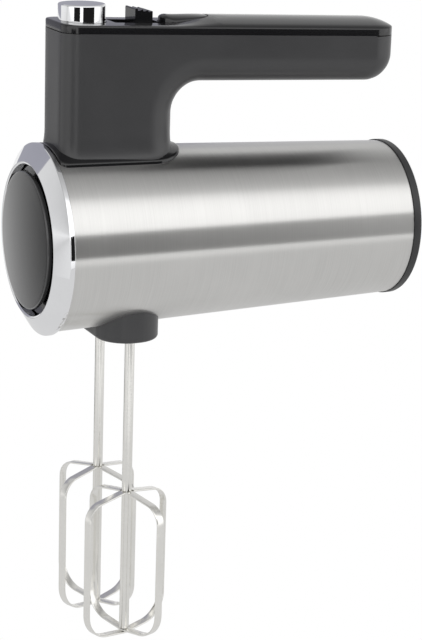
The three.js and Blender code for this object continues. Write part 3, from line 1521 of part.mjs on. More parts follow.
SIDES.forEach(([name, side, phase]) => {
  place(`field_coil_${side > 0 ? "upper" : "lower"}`, fieldCoil(side), COPPER);
  place(`brush_${name}`, brush(side), CARBON);
  place(`brush_holder_${name}`, brushHolder(side), BRONZE);
  place(`worm_wheel_${name}`, wormWheel(side), WHITE_NYLON);
  place(`spindle_${name}`, spindle(side), ZINC);
  place(`pusher_${name}`, pusher(side), ZINC);
  placeWhisk(name, side, phase);
});

["front", "rear"].forEach((name, i) => {
  const x = fromFront(screwSetbacks[i]);
  const seat = sleeveRadius(x) - SLEEVE_WALL - 2 * FIT;
  place(`handle_screw_${name}`, screwUp(x, 0, seat, SCREW_LENGTH - CUT), ZINC);
});
["right", "left"].forEach((name, i) => {
  const { x, y } = caseScrewPlaces[i];
  const seat = GEARCASE_TOP - SCREW_HEAD_HEIGHT + FIT;
  place(`case_screw_${name}`, screwDown(x, y, seat, SCREW_LENGTH), ZINC);
  place(`cap_screw_${name}`, screwForward(capScrewPlaces[i].y, capScrewPlaces[i].z), ZINC);
});

export default mixer;
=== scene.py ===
# %% [markdown]
# # Hand mixer: the looks over the jointed model
# The mixer is a brushed steel barrel with a chrome nose, a grey grip on an upright stem, a black
# cover with three keys, and two strip whisks under a socket boss. The jointed model already holds
# every piece as a plain solid. Smooth skins are laid here over the solids that show, and the rest
# take a finish. Lengths are millimetres, and `s` is a setback: how far a point lies behind the
# barrel's front edge.

import json
import math

import bmesh
import bpy
import numpy as np
from mathutils import Matrix, Vector


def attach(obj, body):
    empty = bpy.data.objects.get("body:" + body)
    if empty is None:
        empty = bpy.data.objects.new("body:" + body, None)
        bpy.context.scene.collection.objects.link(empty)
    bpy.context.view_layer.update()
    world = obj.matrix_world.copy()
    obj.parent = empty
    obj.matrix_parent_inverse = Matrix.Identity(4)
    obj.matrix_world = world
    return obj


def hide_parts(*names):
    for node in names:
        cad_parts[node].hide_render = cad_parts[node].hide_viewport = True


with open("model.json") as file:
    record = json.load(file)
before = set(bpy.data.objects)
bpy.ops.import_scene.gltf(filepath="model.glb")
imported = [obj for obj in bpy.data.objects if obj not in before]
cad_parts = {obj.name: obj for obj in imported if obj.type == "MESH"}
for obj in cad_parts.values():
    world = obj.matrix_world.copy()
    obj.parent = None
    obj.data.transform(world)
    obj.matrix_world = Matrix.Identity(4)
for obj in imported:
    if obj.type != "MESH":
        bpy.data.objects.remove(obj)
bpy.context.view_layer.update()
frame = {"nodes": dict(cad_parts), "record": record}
slot_of = {part["node"]: part["material_slot"] for part in frame["record"]["subparts"]}

# %% [markdown]
# ## Shared sizes
# A few sizes drive several pieces, so each is given once. The barrel tapers from nose to tail. The
# cover's edge line falls a little towards the tail, and the seam, the crown and the keys are
# measured from it. Each line is a function of the setback, so neighbouring pieces stay in step.

# %% sizes
MM = 0.001  # in metres
BODY = 183.9  # setback of the flat rear face, where the origin is
NOSE_RADIUS, TAIL_RADIUS, SLEEVE_END = 44.1, 38.4, 179.2
EDGE_HEIGHT, SLOPE = 102.4, 0.03  # the edge line's height at the stem's front, and its fall
STEM_FRONT, STEM_REAR, GRIP_END = 4.5, 62.3, 178.0
HALF = 17.5  # half the grip's width
BAND = 3.7  # from the edge line down to the seam
DECK_CROWN, CROWN = 0.3, 3.8  # rise of the cover at the keys and behind them
DECK_REAR, CROWN_FULL = 56.0, 84.0  # setbacks between which the rise grows
BOSS_S, SOCKET_Y = 37.8, 19.5  # the whisk sockets
FLOOR = -198.3  # the whisks' lowest point


def barrel(s):
    """Radius of the barrel at a setback: it falls evenly from the nose to the sleeve's end."""
    return NOSE_RADIUS - (NOSE_RADIUS - TAIL_RADIUS) * np.asarray(s, float) / SLEEVE_END


def edge(s):
    """Height of the cover's edge line: it falls 0.03 mm for each millimetre of setback."""
    return EDGE_HEIGHT - SLOPE * (np.asarray(s, float) - STEM_FRONT)


def seam(s):
    """Height of the seam between the cover and the handle shell."""
    return edge(s) - BAND


def crown(s, y):
    """Height of the cover: the edge line plus a parabola across the width. Its rise is small over
    the deck that carries the keys and grows behind them, along a smooth step."""
    t = np.clip((np.asarray(s, float) - DECK_REAR) / (CROWN_FULL - DECK_REAR), 0, 1)
    rise = DECK_CROWN + (CROWN - DECK_CROWN) * t * t * (3 - 2 * t)
    return edge(s) + rise * (1 - (np.asarray(y, float) / HALF) ** 2)


print("edge line at the tail end", round(float(edge(GRIP_END)), 2))

# %% [markdown]
# ## From arrays to meshes
# A skin could be sculpted or cut with Booleans, but uneven faces dent the reflections of a glossy
# part. Here a skin is a grid of points from a formula, and cells are left out where the real wall
# has an opening. Coincident points are then welded, which closes seams and poles.

# %% grids and meshes
WELD, SPECK = 2e-6, 1e-6  # metres: points this close are one, and edges this short go


def cells(rows, cols, wrap=False, keep=None):
    """Quads of a rows by cols grid of points, as index rows. wrap joins the last column to the
    first, and keep is a mask of the cells that stay."""
    across = cols if wrap else cols - 1
    i, j = np.meshgrid(np.arange(rows - 1), np.arange(across), indexing="ij")
    k = (j + 1) % cols
    quads = np.stack([i * cols + j, i * cols + k, (i + 1) * cols + k, (i + 1) * cols + j], -1)
    if keep is not None:
        quads = quads[keep]
    return quads.reshape(-1, 4)


def welded(name, patches):
    """A mesh from patches, a list of (points in mm as (s, y, z), faces). Its faces point outwards:
    area times the normal's share away from the middle, summed over the faces, is positive."""
    points, faces, base = [], [], 0
    for grid_points, quads in patches:
        points.append(np.asarray(grid_points, float).reshape(-1, 3))
        faces += (quads + base).tolist()
        base += len(points[-1])
    points = (np.concatenate(points) - [BODY, 0, 0]) * MM
    mesh = bpy.data.meshes.new(name)
    mesh.from_pydata(points.tolist(), [], faces)
    work = bmesh.new()
    work.from_mesh(mesh)
    bmesh.ops.remove_doubles(work, verts=work.verts, dist=WELD)
    bmesh.ops.dissolve_degenerate(work, edges=work.edges, dist=SPECK)
    bmesh.ops.recalc_face_normals(work, faces=work.faces)
    middle = sum((v.co for v in work.verts), Vector()) / len(work.verts)
    out = sum(f.calc_area() * f.normal.dot(f.calc_center_median() - middle) for f in work.faces)
    if out < 0:
        bmesh.ops.reverse_faces(work, faces=work.faces)
    work.to_mesh(mesh)
    work.free()
    return mesh


print("welding distance in mm", WELD / MM)

# %% [markdown]
# ## From meshes to pieces
# Smooth shading hides the grid, and hard edges keep the real corners. The open borders are hard
# too: Solidify adds its rim there, and a soft border would tilt the light on the wall beside it.
# Each piece then rides on its body, names its material slot and stands for nodes of the model.

# %% pieces
looks = {}


def shade(mesh, sharp):
    """Smooth faces, with hard edges where two faces turn by more than sharp degrees and along
    every edge that only one face uses."""
    mesh.polygons.foreach_set("use_smooth", np.ones(len(mesh.polygons), bool))
    mesh.set_sharp_from_angle(angle=math.radians(sharp))
    hard = np.zeros(len(mesh.edges), bool)
    mesh.edges.foreach_get("use_edge_sharp", hard)
    used = np.empty(len(mesh.loops), int)
    mesh.loops.foreach_get("edge_index", used)
    border = np.bincount(used, minlength=len(hard)) == 1
    mesh.edges.foreach_set("use_edge_sharp", hard | border)


def unwrap(mesh, uv):
    """Adds a UV map named round, from a function of points in mm measured from the origin."""
    layer = mesh.uv_layers.new(name="round")
    at = np.empty(len(mesh.vertices) * 3)
    mesh.vertices.foreach_get("co", at)
    index = np.empty(len(mesh.loops), int)
    mesh.loops.foreach_get("vertex_index", index)
    layer.data.foreach_set("uv", uv(at.reshape(-1, 3)[index] * 1000).astype(np.float32).ravel())


def piece(name, patches, body, slot, covers, wall=0.0, uv=None, sharp=40.0):
    """An object from patches, on a body, with its slot's finish, in place of the nodes in covers.
    wall thickens an open skin inwards, in mm."""
    mesh = welded(name, patches)
    shade(mesh, sharp)
    if uv is not None:
        unwrap(mesh, uv)
    mesh.materials.append(looks[slot])
    made = bpy.data.objects.new(name, mesh)
    bpy.context.scene.collection.objects.link(made)
    if wall:
        skin = made.modifiers.new("wall", "SOLIDIFY")
        skin.thickness = wall * MM
        skin.offset = -1
        skin.use_even_offset = True
    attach(made, body)
    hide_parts(*covers)
    print(f"{name}: {len(mesh.vertices)} points, {len(mesh.polygons)} faces")


# %% [markdown]
# ## Outlines
# Moulded, pressed and turned pieces share three outlines: a line with rounded corners, that line
# turned round an axis, and a rounded plan. Corners are given with their radius and worked out as
# true arcs, so a small corner needs no Bevel and keeps its size.

# %% outlines
def fillet(corners, steps=8):
    """A polyline (u, v) from corners (u, v, radius): each corner with a radius becomes an arc
    tangent to both sides, centred on the corner's bisector."""
    given = [(u, v, r[0] if r else 0.0) for u, v, *r in corners]
    line = []
    for i, (u, v, r) in enumerate(given):
        here = np.array([u, v], float)
        if r <= 0 or i in (0, len(given) - 1):
            line.append(here)
            continue
        back = np.array(given[i - 1][:2]) - here
        ahead = np.array(given[i + 1][:2]) - here
        back, ahead = back / np.linalg.norm(back), ahead / np.linalg.norm(ahead)
        half = math.acos(np.clip(back @ ahead, -1, 1)) / 2
        middle = here + (back + ahead) / np.linalg.norm(back + ahead) * r / math.sin(half)
        a = here + back * r / math.tan(half) - middle
        b = here + ahead * r / math.tan(half) - middle
        turn = math.atan2(a[0] * b[1] - a[1] * b[0], a @ b)
        for t in np.linspace(0, turn, steps + 1):
            c, w = math.cos(t), math.sin(t)
            line.append(middle + [a[0] * c - a[1] * w, a[0] * w + a[1] * c])
    return np.array(line)


def lathe(profile, steps=128, axis="X", centre=(0.0, 0.0), closed=False):
    """A profile of (along, radius) turned round an axis: angle by angle, the radius swings in the
    plane across the axis. closed joins the profile's end to its start. Returns one patch."""
    if closed:
        profile = np.vstack([profile, profile[:1]])
    along, radius = profile[:, :1], profile[:, 1:]
    a = np.linspace(0, 2 * math.pi, steps, endpoint=False)[None]
    p, q = radius * np.cos(a) + centre[0], radius * np.sin(a) + centre[1]
    along = along + 0 * a
    points = np.stack([along, p, q] if axis == "X" else [p, q, along], -1)
    return points, cells(len(profile), steps, wrap=True)


def rounded_plan(s0, s1, half0, half1, r0, r1, steps=10):
    """A closed outline in plan, from the middle of the front round to itself: half widths half0
    and half1 and corner radii r0 and r1 at the front and the rear."""
    ring = fillet(
        [(s0, 0), (s0, half0, r0), (s1, half1, r1), (s1, -half1, r1), (s0, -half0, r0), (s0, 0)],
        steps,
    )
    return ring[:-1]


def resample(ring, count):
    """count points evenly spaced along a closed outline."""
    loop = np.vstack([ring, ring[:1]])
    run = np.concatenate([[0], np.cumsum(np.linalg.norm(np.diff(loop, axis=0), axis=1))])
    at = np.linspace(0, run[-1], count, endpoint=False)
    return np.stack([np.interp(at, run, loop[:, 0]), np.interp(at, run, loop[:, 1])], -1)


def mirrored(half_rows):
    """Rows of points that run from +Y to the middle, carried on to their mirror images on -Y."""
    return np.concatenate([half_rows, half_rows[..., -2::-1, :] * [1, -1, 1]], -2)


print("a 2 mm corner in", len(fillet([(0, 0), (9, 0, 2), (9, 9)])), "points")

# %% [markdown]
# ## Finishes
# A painted picture of the surface would do, but it stretches and runs out close up. Noise in the
# piece's own coordinates doesn't. Fine noise, drawn out along the way the surface was worked,
# tints the base and lifts a slight relief. Broad noise lightens it and varies its gloss in
# patches, as handling does.

# %% finish
FINE_DETAIL, BROAD_DETAIL = 3.0, 4.0
BROAD_SCALE = 38.0  # patches per metre
PATCH_LIGHTER = 1.12
COAT_ROUGH = 0.06


def node(tree, kind, sockets=None, **options):
    """Adds a shader node, sets its options, and then its sockets, since options change those."""
    made = tree.nodes.new("ShaderNode" + kind)
    for option, value in options.items():
        setattr(made, option, value)
    for socket, value in (sockets or {}).items():
        made.inputs[socket].default_value = value
    return made


def finish(name, base, metallic=0.0, rough=0.4, grain=600, tone=0.08, relief=0.02,
           gloss_span=0.08, coat=0.0, spread=0.0):
    """Adds a finish to looks. base is its colour. grain is the fine noise's frequency per metre,
    one number or one each for X, Y and Z. tone is that noise's share of the colour and relief its
    height in mm. gloss_span is how far the roughness wanders round rough, coat is a clear layer's
    weight, and spread stretches the highlight across the grain, along the UV map round."""
    made = bpy.data.materials.new(name)
    made.use_nodes = True
    tree = made.node_tree
    link = tree.links.new
    shader = next(n for n in tree.nodes if n.type == "BSDF_PRINCIPLED")
    shader.inputs["Metallic"].default_value = metallic
    shader.inputs["Coat Weight"].default_value = coat
    shader.inputs["Coat Roughness"].default_value = COAT_ROUGH
    low = [c * (1 - tone) for c in base]
    high = [min(c * (1 + tone), 1) for c in base]
    patch = [min(c * PATCH_LIGHTER, 1) for c in base]
    where = node(tree, "TexCoord")
    stretch = node(tree, "Mapping", {"Scale": np.broadcast_to(grain, 3).tolist()})
    fine = node(tree, "TexNoise", {"Scale": 1.0, "Detail": FINE_DETAIL})
    broad = node(tree, "TexNoise", {"Scale": BROAD_SCALE, "Detail": BROAD_DETAIL})
    tint = node(tree, "Mix", {"A": (*low, 1), "B": (*high, 1)}, data_type="RGBA")
    settle = node(tree, "Mix", {"B": (*patch, 1)}, data_type="RGBA")
    amount = node(tree, "MapRange", {"From Min": 0.45, "From Max": 0.8, "To Max": 0.5})
    smoothest = max(rough - gloss_span / 2, 0.02)
    gloss = node(tree, "MapRange", {"From Min": 0.3, "From Max": 0.7, "To Min": smoothest,
                                    "To Max": rough + gloss_span / 2})
    link(where.outputs["Object"], stretch.inputs["Vector"])
    link(stretch.outputs["Vector"], fine.inputs["Vector"])
    link(where.outputs["Object"], broad.inputs["Vector"])
    link(fine.outputs["Fac"], tint.inputs["Factor"])
    link(broad.outputs["Fac"], amount.inputs["Value"])
    link(amount.outputs["Result"], settle.inputs["Factor"])
    link(tint.outputs["Result"], settle.inputs["A"])
    link(settle.outputs["Result"], shader.inputs["Base Color"])
    link(broad.outputs["Fac"], gloss.inputs["Value"])
    link(gloss.outputs["Result"], shader.inputs["Roughness"])
    if relief:
        lift = node(tree, "Bump", {"Strength": 1.0, "Distance": relief * MM})
        link(fine.outputs["Fac"], lift.inputs["Height"])
        link(lift.outputs["Normal"], shader.inputs["Normal"])
    if spread:
        along = node(tree, "Tangent", direction_type="UV_MAP", uv_map="round")
        shader.inputs["Anisotropic"].default_value = spread
        link(along.outputs["Tangent"], shader.inputs["Tangent"])
    looks[name] = made


# %% [markdown]
# ## Finishes that show
# The sleeve is brushed round the body: its noise is fine along X and long the other way, and its
# highlight is drawn out along the barrel. Chrome needs no relief, because plating levels it. The
# grip is a satin moulding, and the cover and the disc are polished ones with a clear top.

# %% outer finishes
finish("sleeve_steel", (0.70, 0.695, 0.68), metallic=1, rough=0.29, grain=(3200, 26, 26), tone=0.11,
       relief=0.003, gloss_span=0.01, spread=1.0)
finish("whisk_steel", (0.86, 0.85, 0.82), metallic=1, rough=0.20, grain=(300, 300, 1500), tone=0.05,
       relief=0.004)
finish("chrome", (0.88, 0.885, 0.90), metallic=1, rough=0.05, grain=900, tone=0.02, relief=0,
       gloss_span=0.02)
finish("smoked_disc", (0.045, 0.045, 0.046), rough=0.07, grain=700, tone=0.1, relief=0,
       gloss_span=0.03, coat=0.6)
finish("gloss_black", (0.010, 0.010, 0.011), rough=0.14, grain=800, tone=0.15, relief=0,
       gloss_span=0.05, coat=0.2)
finish("handle_grey", (0.047, 0.047, 0.049), rough=0.33, grain=2200, tone=0.10, gloss_span=0.06)
finish("dark_plastic", (0.03, 0.03, 0.031), rough=0.42, grain=1500, tone=0.1)
print("outer finishes", len(looks))

# %% [markdown]
# ## Finishes inside
# The inner pieces show when the sleeve is hidden, so each has the look of its own stuff: stacked
# sheets and windings have grain along one way, and mouldings and castings are even.

# %% inner finishes
finish("inner_plastic", (0.11, 0.112, 0.105), rough=0.6, grain=900, tone=0.1)
finish("white_nylon", (0.76, 0.73, 0.65), rough=0.5, grain=500, tone=0.05)
finish("rubber", (0.018, 0.018, 0.018), rough=0.75, grain=1200, tone=0.2, relief=0.03)
finish("lamination_steel", (0.24, 0.235, 0.225), metallic=1, rough=0.5, grain=(2000, 30, 30),
       tone=0.35, relief=0.04)
finish("copper", (0.60, 0.24, 0.12), metallic=1, rough=0.3, grain=(2500, 200, 200), tone=0.3,
       relief=0.05)
finish("bronze", (0.52, 0.38, 0.20), metallic=1, rough=0.45, grain=1500, tone=0.15)
finish("carbon", (0.03, 0.03, 0.03), rough=0.7, grain=1500, tone=0.2, relief=0.03)
finish("board_green", (0.03, 0.13, 0.06), rough=0.35, grain=400, tone=0.2, relief=0.01, coat=0.3)
finish("zinc_steel", (0.55, 0.56, 0.57), metallic=1, rough=0.35, grain=900, relief=0.01)
print("all finishes", len(looks))

# %% [markdown]
# ## Barrel
# The sleeve is a rolled steel sheet, open under the stem and over the socket boss. A cone cut with
# Booleans would have long thin faces at the cuts, so the openings are cells left out of a grid in
# setback and angle, whose lines run along their edges. Solidify gives the sheet its thickness.

# %% barrel
SLEEVE_START, SHEET = 0.3, 0.9
STEM_GAP, BOSS_GAP = (14.6, 53.0), (28.8, 46.8)  # setbacks of the openings
STEM_GAP_HALF, BOSS_GAP_HALF, GAP_RADIUS = 12, 25, 43  # their half widths, at this radius


def between(values, span):
    """Mask of the values inside a span."""
    return (values > span[0]) & (values < span[1])


def round_uv(points):
    """u runs along the barrel, one unit to 100 mm, and v once round it."""
    return np.stack([points[:, 0] / 100, np.arctan2(points[:, 2], points[:, 1]) / (2 * math.pi)], -1)


at = np.unique(np.concatenate([
    np.linspace(SLEEVE_START, STEM_GAP[0], 8), np.linspace(*STEM_GAP, 20), BOSS_GAP,
    np.linspace(STEM_GAP[1], SLEEVE_END, 40),
]))
stem_turn = math.degrees(math.asin(STEM_GAP_HALF / GAP_RADIUS))
boss_turn = math.degrees(math.asin(BOSS_GAP_HALF / GAP_RADIUS))
angles = np.radians(np.unique(np.round(np.concatenate([
    np.linspace(0, 360, 145)[:-1],
    [90 - stem_turn, 90 + stem_turn, 270 - boss_turn, 270 + boss_turn],
]), 4)))
S, A = np.meshgrid(at, angles, indexing="ij")
skin = np.stack([S, barrel(S) * np.cos(A), barrel(S) * np.sin(A)], -1)
middle_s = (S[1:, :] + S[:-1, :]) / 2
next_angle = np.append(angles[1:], angles[0] + 2 * math.pi)
middle_a = np.degrees((angles + next_angle) / 2)[None] % 360
under_stem = between(middle_s, STEM_GAP) & (abs(middle_a - 90) < stem_turn)
over_boss = between(middle_s, BOSS_GAP) & (abs(middle_a - 270) < boss_turn)
wall_cells = cells(len(at), len(angles), wrap=True, keep=~(under_stem | over_boss))
piece("sleeve_skin", [(skin, wall_cells)], "housing", "sleeve_steel", ["body_sleeve"], wall=SHEET,
      uv=round_uv)

# %% [markdown]
# ## Nose
# The bezel is a plated ring: a narrow rim, a wide flat chamfer and a rolled lip. The disc sits
# inside it on a black carrier, with a dark gap all round, and its face is slightly domed. All
# three are turned shapes, so each is a profile swung round the barrel's axis. The bezel has more
# steps than the others, because chrome shows every flat.

# %% nose
bezel = fillet([(0, 36.1), (0, 45.6, 0.4), (-2.3, 45.6, 0.7), (-7.7, 36.9, 0.5), (-7.2, 35.9, 0.3),
                (0, 36.1)], 6)
piece("bezel_ring", [lathe(bezel[:-1], 192, closed=True)], "housing", "chrome", ["front_bezel"])

DISC_RADIUS, DISC_FRONT, DOME = 32.6, -8.8, 1.2
r = np.linspace(0, 31.9, 24)
dome = np.stack([DISC_FRONT - DOME * (1 - (r / DISC_RADIUS) ** 2), r], -1)
disc = fillet([*dome, (-8.75, DISC_RADIUS, 0.45), (-6.65, DISC_RADIUS, 0.3), (-6.65, 12), (-3.2, 12),
               (-3.2, 0)], 5)
piece("nose_disc", [lathe(disc, 160)], "housing", "smoked_disc", ["front_disc"])

carrier = fillet([(-2.75, 0), (-2.75, 35.4, 0.3), (0.4, 35.4), (0.4, 42.3, 0.3), (5.4, 42.3, 0.3),
                  (5.4, 40.0), (2.8, 40.0), (2.8, 0)], 4)
piece("nose_carrier", [lathe(carrier)], "housing", "gloss_black", ["front_carrier"])

# %% [markdown]
# ## Tail
# A dark moulded ring closes the barrel's rear edge. It is turned too, with a rounded outer corner.
# The cap behind it keeps its vents and screws from the model, with its corners softened below.

# %% tail
tail = fillet([(182.0, 37.3), (179.5, 37.4), (179.5, 38.95, 0.3), (183.6, 38.85, 0.9), (183.6, 37.3),
               (182.0, 37.3)], 6)
piece("tail_ring", [lathe(tail[:-1], 160, closed=True)], "housing", "dark_plastic", ["rear_ring"])

# %% [markdown]
# ## Handle shell: the path
# The stem and the grip are one moulding with flat sides. A bevelled block would do for a fixed
# corner, but here the corner tightens from the stem to the grip. So a strip runs up the back of
# the stem, round the throat, along the belly and round the heel, and each of its stations holds
# its own corner radius and the place where its side panel ends.

# %% handle path
SEAM_GAP = 0.15
FOOT, FOOT_TOP = 36.0, 52.0
THROAT, HEEL, FRONT_ROUND = 13.5, 13.5, 8.5
STEM_ROUND, GRIP_ROUND, HEEL_ROUND = 16.5, 12.5, 13.0
GRIP_DEPTH = 26.8


def belly(s):
    """Height of the grip's underside: a fixed depth under the edge line."""
    return edge(s) - GRIP_DEPTH


def panel_top(s):
    """Height at which the side panel stops, a small gap under the seam."""
    return float(seam(s)) - SEAM_GAP


throat_s = STEM_REAR + THROAT
throat_z = float(belly(throat_s)) - THROAT
heel_s = GRIP_END - HEEL
heel_z = float(belly(heel_s)) + HEEL
corner_s = STEM_FRONT + FRONT_ROUND
corner_top = panel_top(corner_s)
corner_turn = math.atan2(corner_top - throat_z, throat_s - corner_s)

# A station is (s, z), the inward direction, the corner radius and the panel's end (s, z).
stations = []
stem_heights = [np.linspace(FOOT, FOOT_TOP, 20)[:-1], np.linspace(FOOT_TOP, throat_z, 8)[:-1]]
for z in np.concatenate(stem_heights):
    stations.append((STEM_REAR, z, -1.0, 0.0, STEM_ROUND, corner_s, z))
for a in np.unique(np.append(np.linspace(0, math.pi / 2, 25), corner_turn)):
    c, w = math.cos(a), math.sin(a)
    corner = STEM_ROUND + (GRIP_ROUND - STEM_ROUND) * a / (math.pi / 2)
    if a <= corner_turn + 1e-9:
        end = (corner_s, throat_z + (throat_s - corner_s) * math.tan(a))
    else:
        far = throat_s - (corner_top - throat_z) / math.tan(a)
        end = (far, panel_top(far))
    stations.append((throat_s - THROAT * c, throat_z + THROAT * w, -c, w, corner, *end))
for s in np.linspace(throat_s, heel_s, 34)[1:-1]:
    stations.append((s, float(belly(s)), SLOPE, 1.0, GRIP_ROUND, s, panel_top(s)))
heel_end = (heel_s, panel_top(heel_s))
for a in np.linspace(0, math.pi / 2, 17):
    c, w = math.cos(a), math.sin(a)
    corner = GRIP_ROUND + (HEEL_ROUND - GRIP_ROUND) * w
    stations.append((heel_s + HEEL * w, heel_z - HEEL * c, -w, c, corner, *heel_end))
for z in np.linspace(heel_z, panel_top(GRIP_END), 6)[1:]:
    stations.append((GRIP_END, z, -1.0, 0.0, HEEL_ROUND, *heel_end))
stations = np.array(stations)
print("stations along the handle", len(stations))

# %% [markdown]
# ## Handle shell: the skin
# Each station carries a section across the width: a side panel, a quarter round and a flat middle.
# A second strip closes the front of the stem with its own corners. Both swell at the foot, where
# the moulding spreads on to the saddle. One function swells both strips, so their edges still meet.

# %% handle skin
SHELL_WALL = 2.2
SWELL, SWELL_TOP, SWELL_HEIGHT, SWELL_SIDE = 2.6, 51.0, 11.5, 0.85
SWELL_MIDDLE, SWELL_REACH = 34.5, 29


def section(s, z, inward_s, inward_z, corner, end_s, end_z, steps=9):
    """The points across the width at one station: the quarter round leaves the side at the
    corner's depth along the inward direction and reaches the strip's middle at depth 0."""
    a = np.linspace(0, math.pi / 2, steps)
    depth = corner * (1 - np.sin(a))
    y = HALF - corner * (1 - np.cos(a))
    quarter = np.stack([s + inward_s * depth, y, z + inward_z * depth], -1)
    flat_y = np.linspace(HALF - corner, 0, 4)[1:]
    flat = np.stack([s + 0 * flat_y, flat_y, z + 0 * flat_y], -1)
    end = np.array([end_s, HALF, end_z])
    panel = end + (quarter[0] - end) * np.array([[0], [0.25], [0.5], [0.75]])
    return mirrored(np.concatenate([panel, quarter, flat]))


def flare(points):
    """Below 51 mm the foot swells along a quarter ellipse, 11.5 mm high. It goes about 2.6 mm out
    at the front and rear, and 0.85 of 2.6 mm at the sides."""
    points = np.array(points, float)
    drop = np.clip((SWELL_TOP - points[..., 2]) / SWELL_HEIGHT, 0, 1)
    swell = SWELL * (1 - np.sqrt(1 - drop**2))
    points[..., 1] *= 1 + SWELL_SIDE * swell / HALF
    points[..., 0] = SWELL_MIDDLE + (points[..., 0] - SWELL_MIDDLE) * (1 + swell / SWELL_REACH)
    return points


rear_strip = flare([section(*station) for station in stations])
front_z = np.unique(np.round(stations[abs(stations[:, 5] - corner_s) < 1e-6][:, 6], 6))
turn = np.linspace(0, math.pi / 2, 9)
front_s = np.append(corner_s - FRONT_ROUND * np.sin(turn), [STEM_FRONT] * 3)
front_y = np.append(HALF - FRONT_ROUND * (1 - np.cos(turn)), [6, 3, 0])
front_row = mirrored(np.stack([front_s, front_y, 0 * front_s], -1))
front_strip = flare(front_row + front_z[:, None, None] * [0, 0, 1])
strips = [(strip, cells(*strip.shape[:2])) for strip in (rear_strip, front_strip)]
piece("handle_skin", strips, "housing", "handle_grey", ["handle_shell"], wall=SHELL_WALL)

# %% [markdown]
# ## Saddle
# A thin black gasket lies on the barrel round the stem's foot. Shrinkwrap would drape a flat ring
# over the barrel, but the height is a plain formula here. So two plans are lifted to the barrel's
# surface, and rings between them make a rounded outer lip.

# %% saddle
GASKET = 1.4  # height of the gasket above the barrel
BEDDED = 0.05
outer = resample(rounded_plan(0.9, 66.4, 22.0, 19.8, 4, 17.5), 220)
inner = resample(rounded_plan(STEM_FRONT, STEM_REAR, 16.0, 16.0, 7, 15), 220)


def on_barrel(plan, lift):
    """Plan points lifted on to the barrel's surface, lift mm above it."""
    s, y = plan[:, 0], plan[:, 1]
    return np.stack([s, y, np.sqrt((barrel(s) + lift) ** 2 - y**2)], -1)


saddle_middle = np.array([35.0, 0.0])
lip = [(0.0, BEDDED), (0.0, 0.8), (0.004, 1.15), (0.015, 1.35), (0.035, GASKET)]
saddle = [on_barrel(outer + (saddle_middle - outer) * t, lift) for t, lift in lip]
saddle += [on_barrel(inner, GASKET), on_barrel(inner, BEDDED), saddle[0]]
saddle = np.array(saddle)
piece("saddle_lip", [(saddle, cells(*saddle.shape[:2], wrap=True))], "housing", "gloss_black",
      ["saddle_gasket"])

# %% [markdown]
# ## Cover: the front
# The glossy cover has a crowned top, a tight rolled edge and a low side band down to the seam. A
# square grid can't follow both the round hole for the eject button and the outline, so the front
# is a fan: rings that change evenly from the hole to the outline. A second fan fills the side of
# the hole that faces the slider.

# %% cover front
REAR_ROUND, REAR_FALL = 13.0, 4.6
EJECT_S, EJECT_HOLE, JOIN = 18.4, 11.6, 31.2
ROLL = [(0.9, 0.0), (0.45, 0.10), (0.13, 0.36), (0.0, 0.9)]  # the edge: inset and fall
ROLL_IN = ROLL[0][0]
BACK_COUNT = 23


def cover_height(s, y):
    """The crown, run down over the last 13 mm along a quarter ellipse that falls 4.6 mm, less
    towards the sides."""
    t = np.clip((np.asarray(s, float) - (GRIP_END - REAR_ROUND)) / REAR_ROUND, 0, 1)
    fall = REAR_FALL * (1 - np.sqrt(np.clip(1 - t**2, 0, 1)))
    return crown(s, y) - fall * (1 - 0.45 * (np.asarray(y) / HALF) ** 2)


def raised(plan, height):
    """Plan points (s, y) with their heights."""
    return np.concatenate([plan, np.asarray(height)[..., None]], -1)


def fan(hole, outline, count):
    """count rings on the cover's surface, evenly spaced from a hole to an outline."""
    plan = hole + (outline - hole) * np.linspace(0, 1, count)[:, None, None]
    return raised(plan, cover_height(plan[..., 0], plan[..., 1]))


def hole_at(bearing):
    """Points of the eject button's hole at these bearings."""
    return np.stack([EJECT_S + EJECT_HOLE * np.cos(bearing), EJECT_HOLE * np.sin(bearing)], -1)


corners = fillet([(JOIN, HALF), (STEM_FRONT, HALF, FRONT_ROUND), (STEM_FRONT, -HALF, FRONT_ROUND),
                  (JOIN, -HALF)], 14)
along = np.linspace(JOIN, corner_s, 9)
front_plan = np.vstack([[(s, HALF) for s in along[:-1]], corners[1:-1],
                        [(s, -HALF) for s in along[-2::-1]]])
lean = np.gradient(front_plan, axis=0)
away = np.stack([-lean[:, 1], lean[:, 0]], -1)
away /= np.linalg.norm(away, axis=1)[:, None]
if away[len(away) // 2, 0] > 0:
    away = -away
top_edge = front_plan - away * ROLL_IN
reach = top_edge - [EJECT_S, 0]
front_height = cover_height(front_plan[:, 0], front_plan[:, 1])
rolled = [raised(front_plan - away * inset, front_height - fall) for inset, fall in ROLL[1:]]
front_fan = np.array([
    *fan(hole_at(np.arctan2(reach[:, 1], reach[:, 0])), top_edge, 7), *rolled,
    raised(front_plan, seam(front_plan[:, 0])),
])
back_y = np.linspace(HALF - ROLL_IN, -(HALF - ROLL_IN), BACK_COUNT)
back_edge = np.stack([np.full(BACK_COUNT, JOIN), back_y], -1)
back_fan = fan(hole_at(np.arctan2(back_y, JOIN - EJECT_S)), back_edge, 4)
print("front fan", front_fan.shape, "back fan", back_fan.shape)

# %% [markdown]
# ## Cover: the rest
# Behind the fans the cover is a grid. Its inner columns draw in and out to follow the slider's
# slot and the turbo key's opening, so both are clean holes left out of the grid, with no Boolean.

# %% cover grid
COVER_WALL = 1.9
SLOT, SLOT_HALF = (32.6, 56.0), 6.65
TURBO, TURBO_HALF = (56.55, 81.75), 7.05


def plan_half(s):
    """Half the cover's width: straight, then a 13 mm corner that ends 4.5 mm from the middle."""
    t = np.clip(np.asarray(s, float) - (GRIP_END - REAR_ROUND), 0, REAR_ROUND)
    return HALF - REAR_ROUND + np.sqrt(REAR_ROUND**2 - t**2)


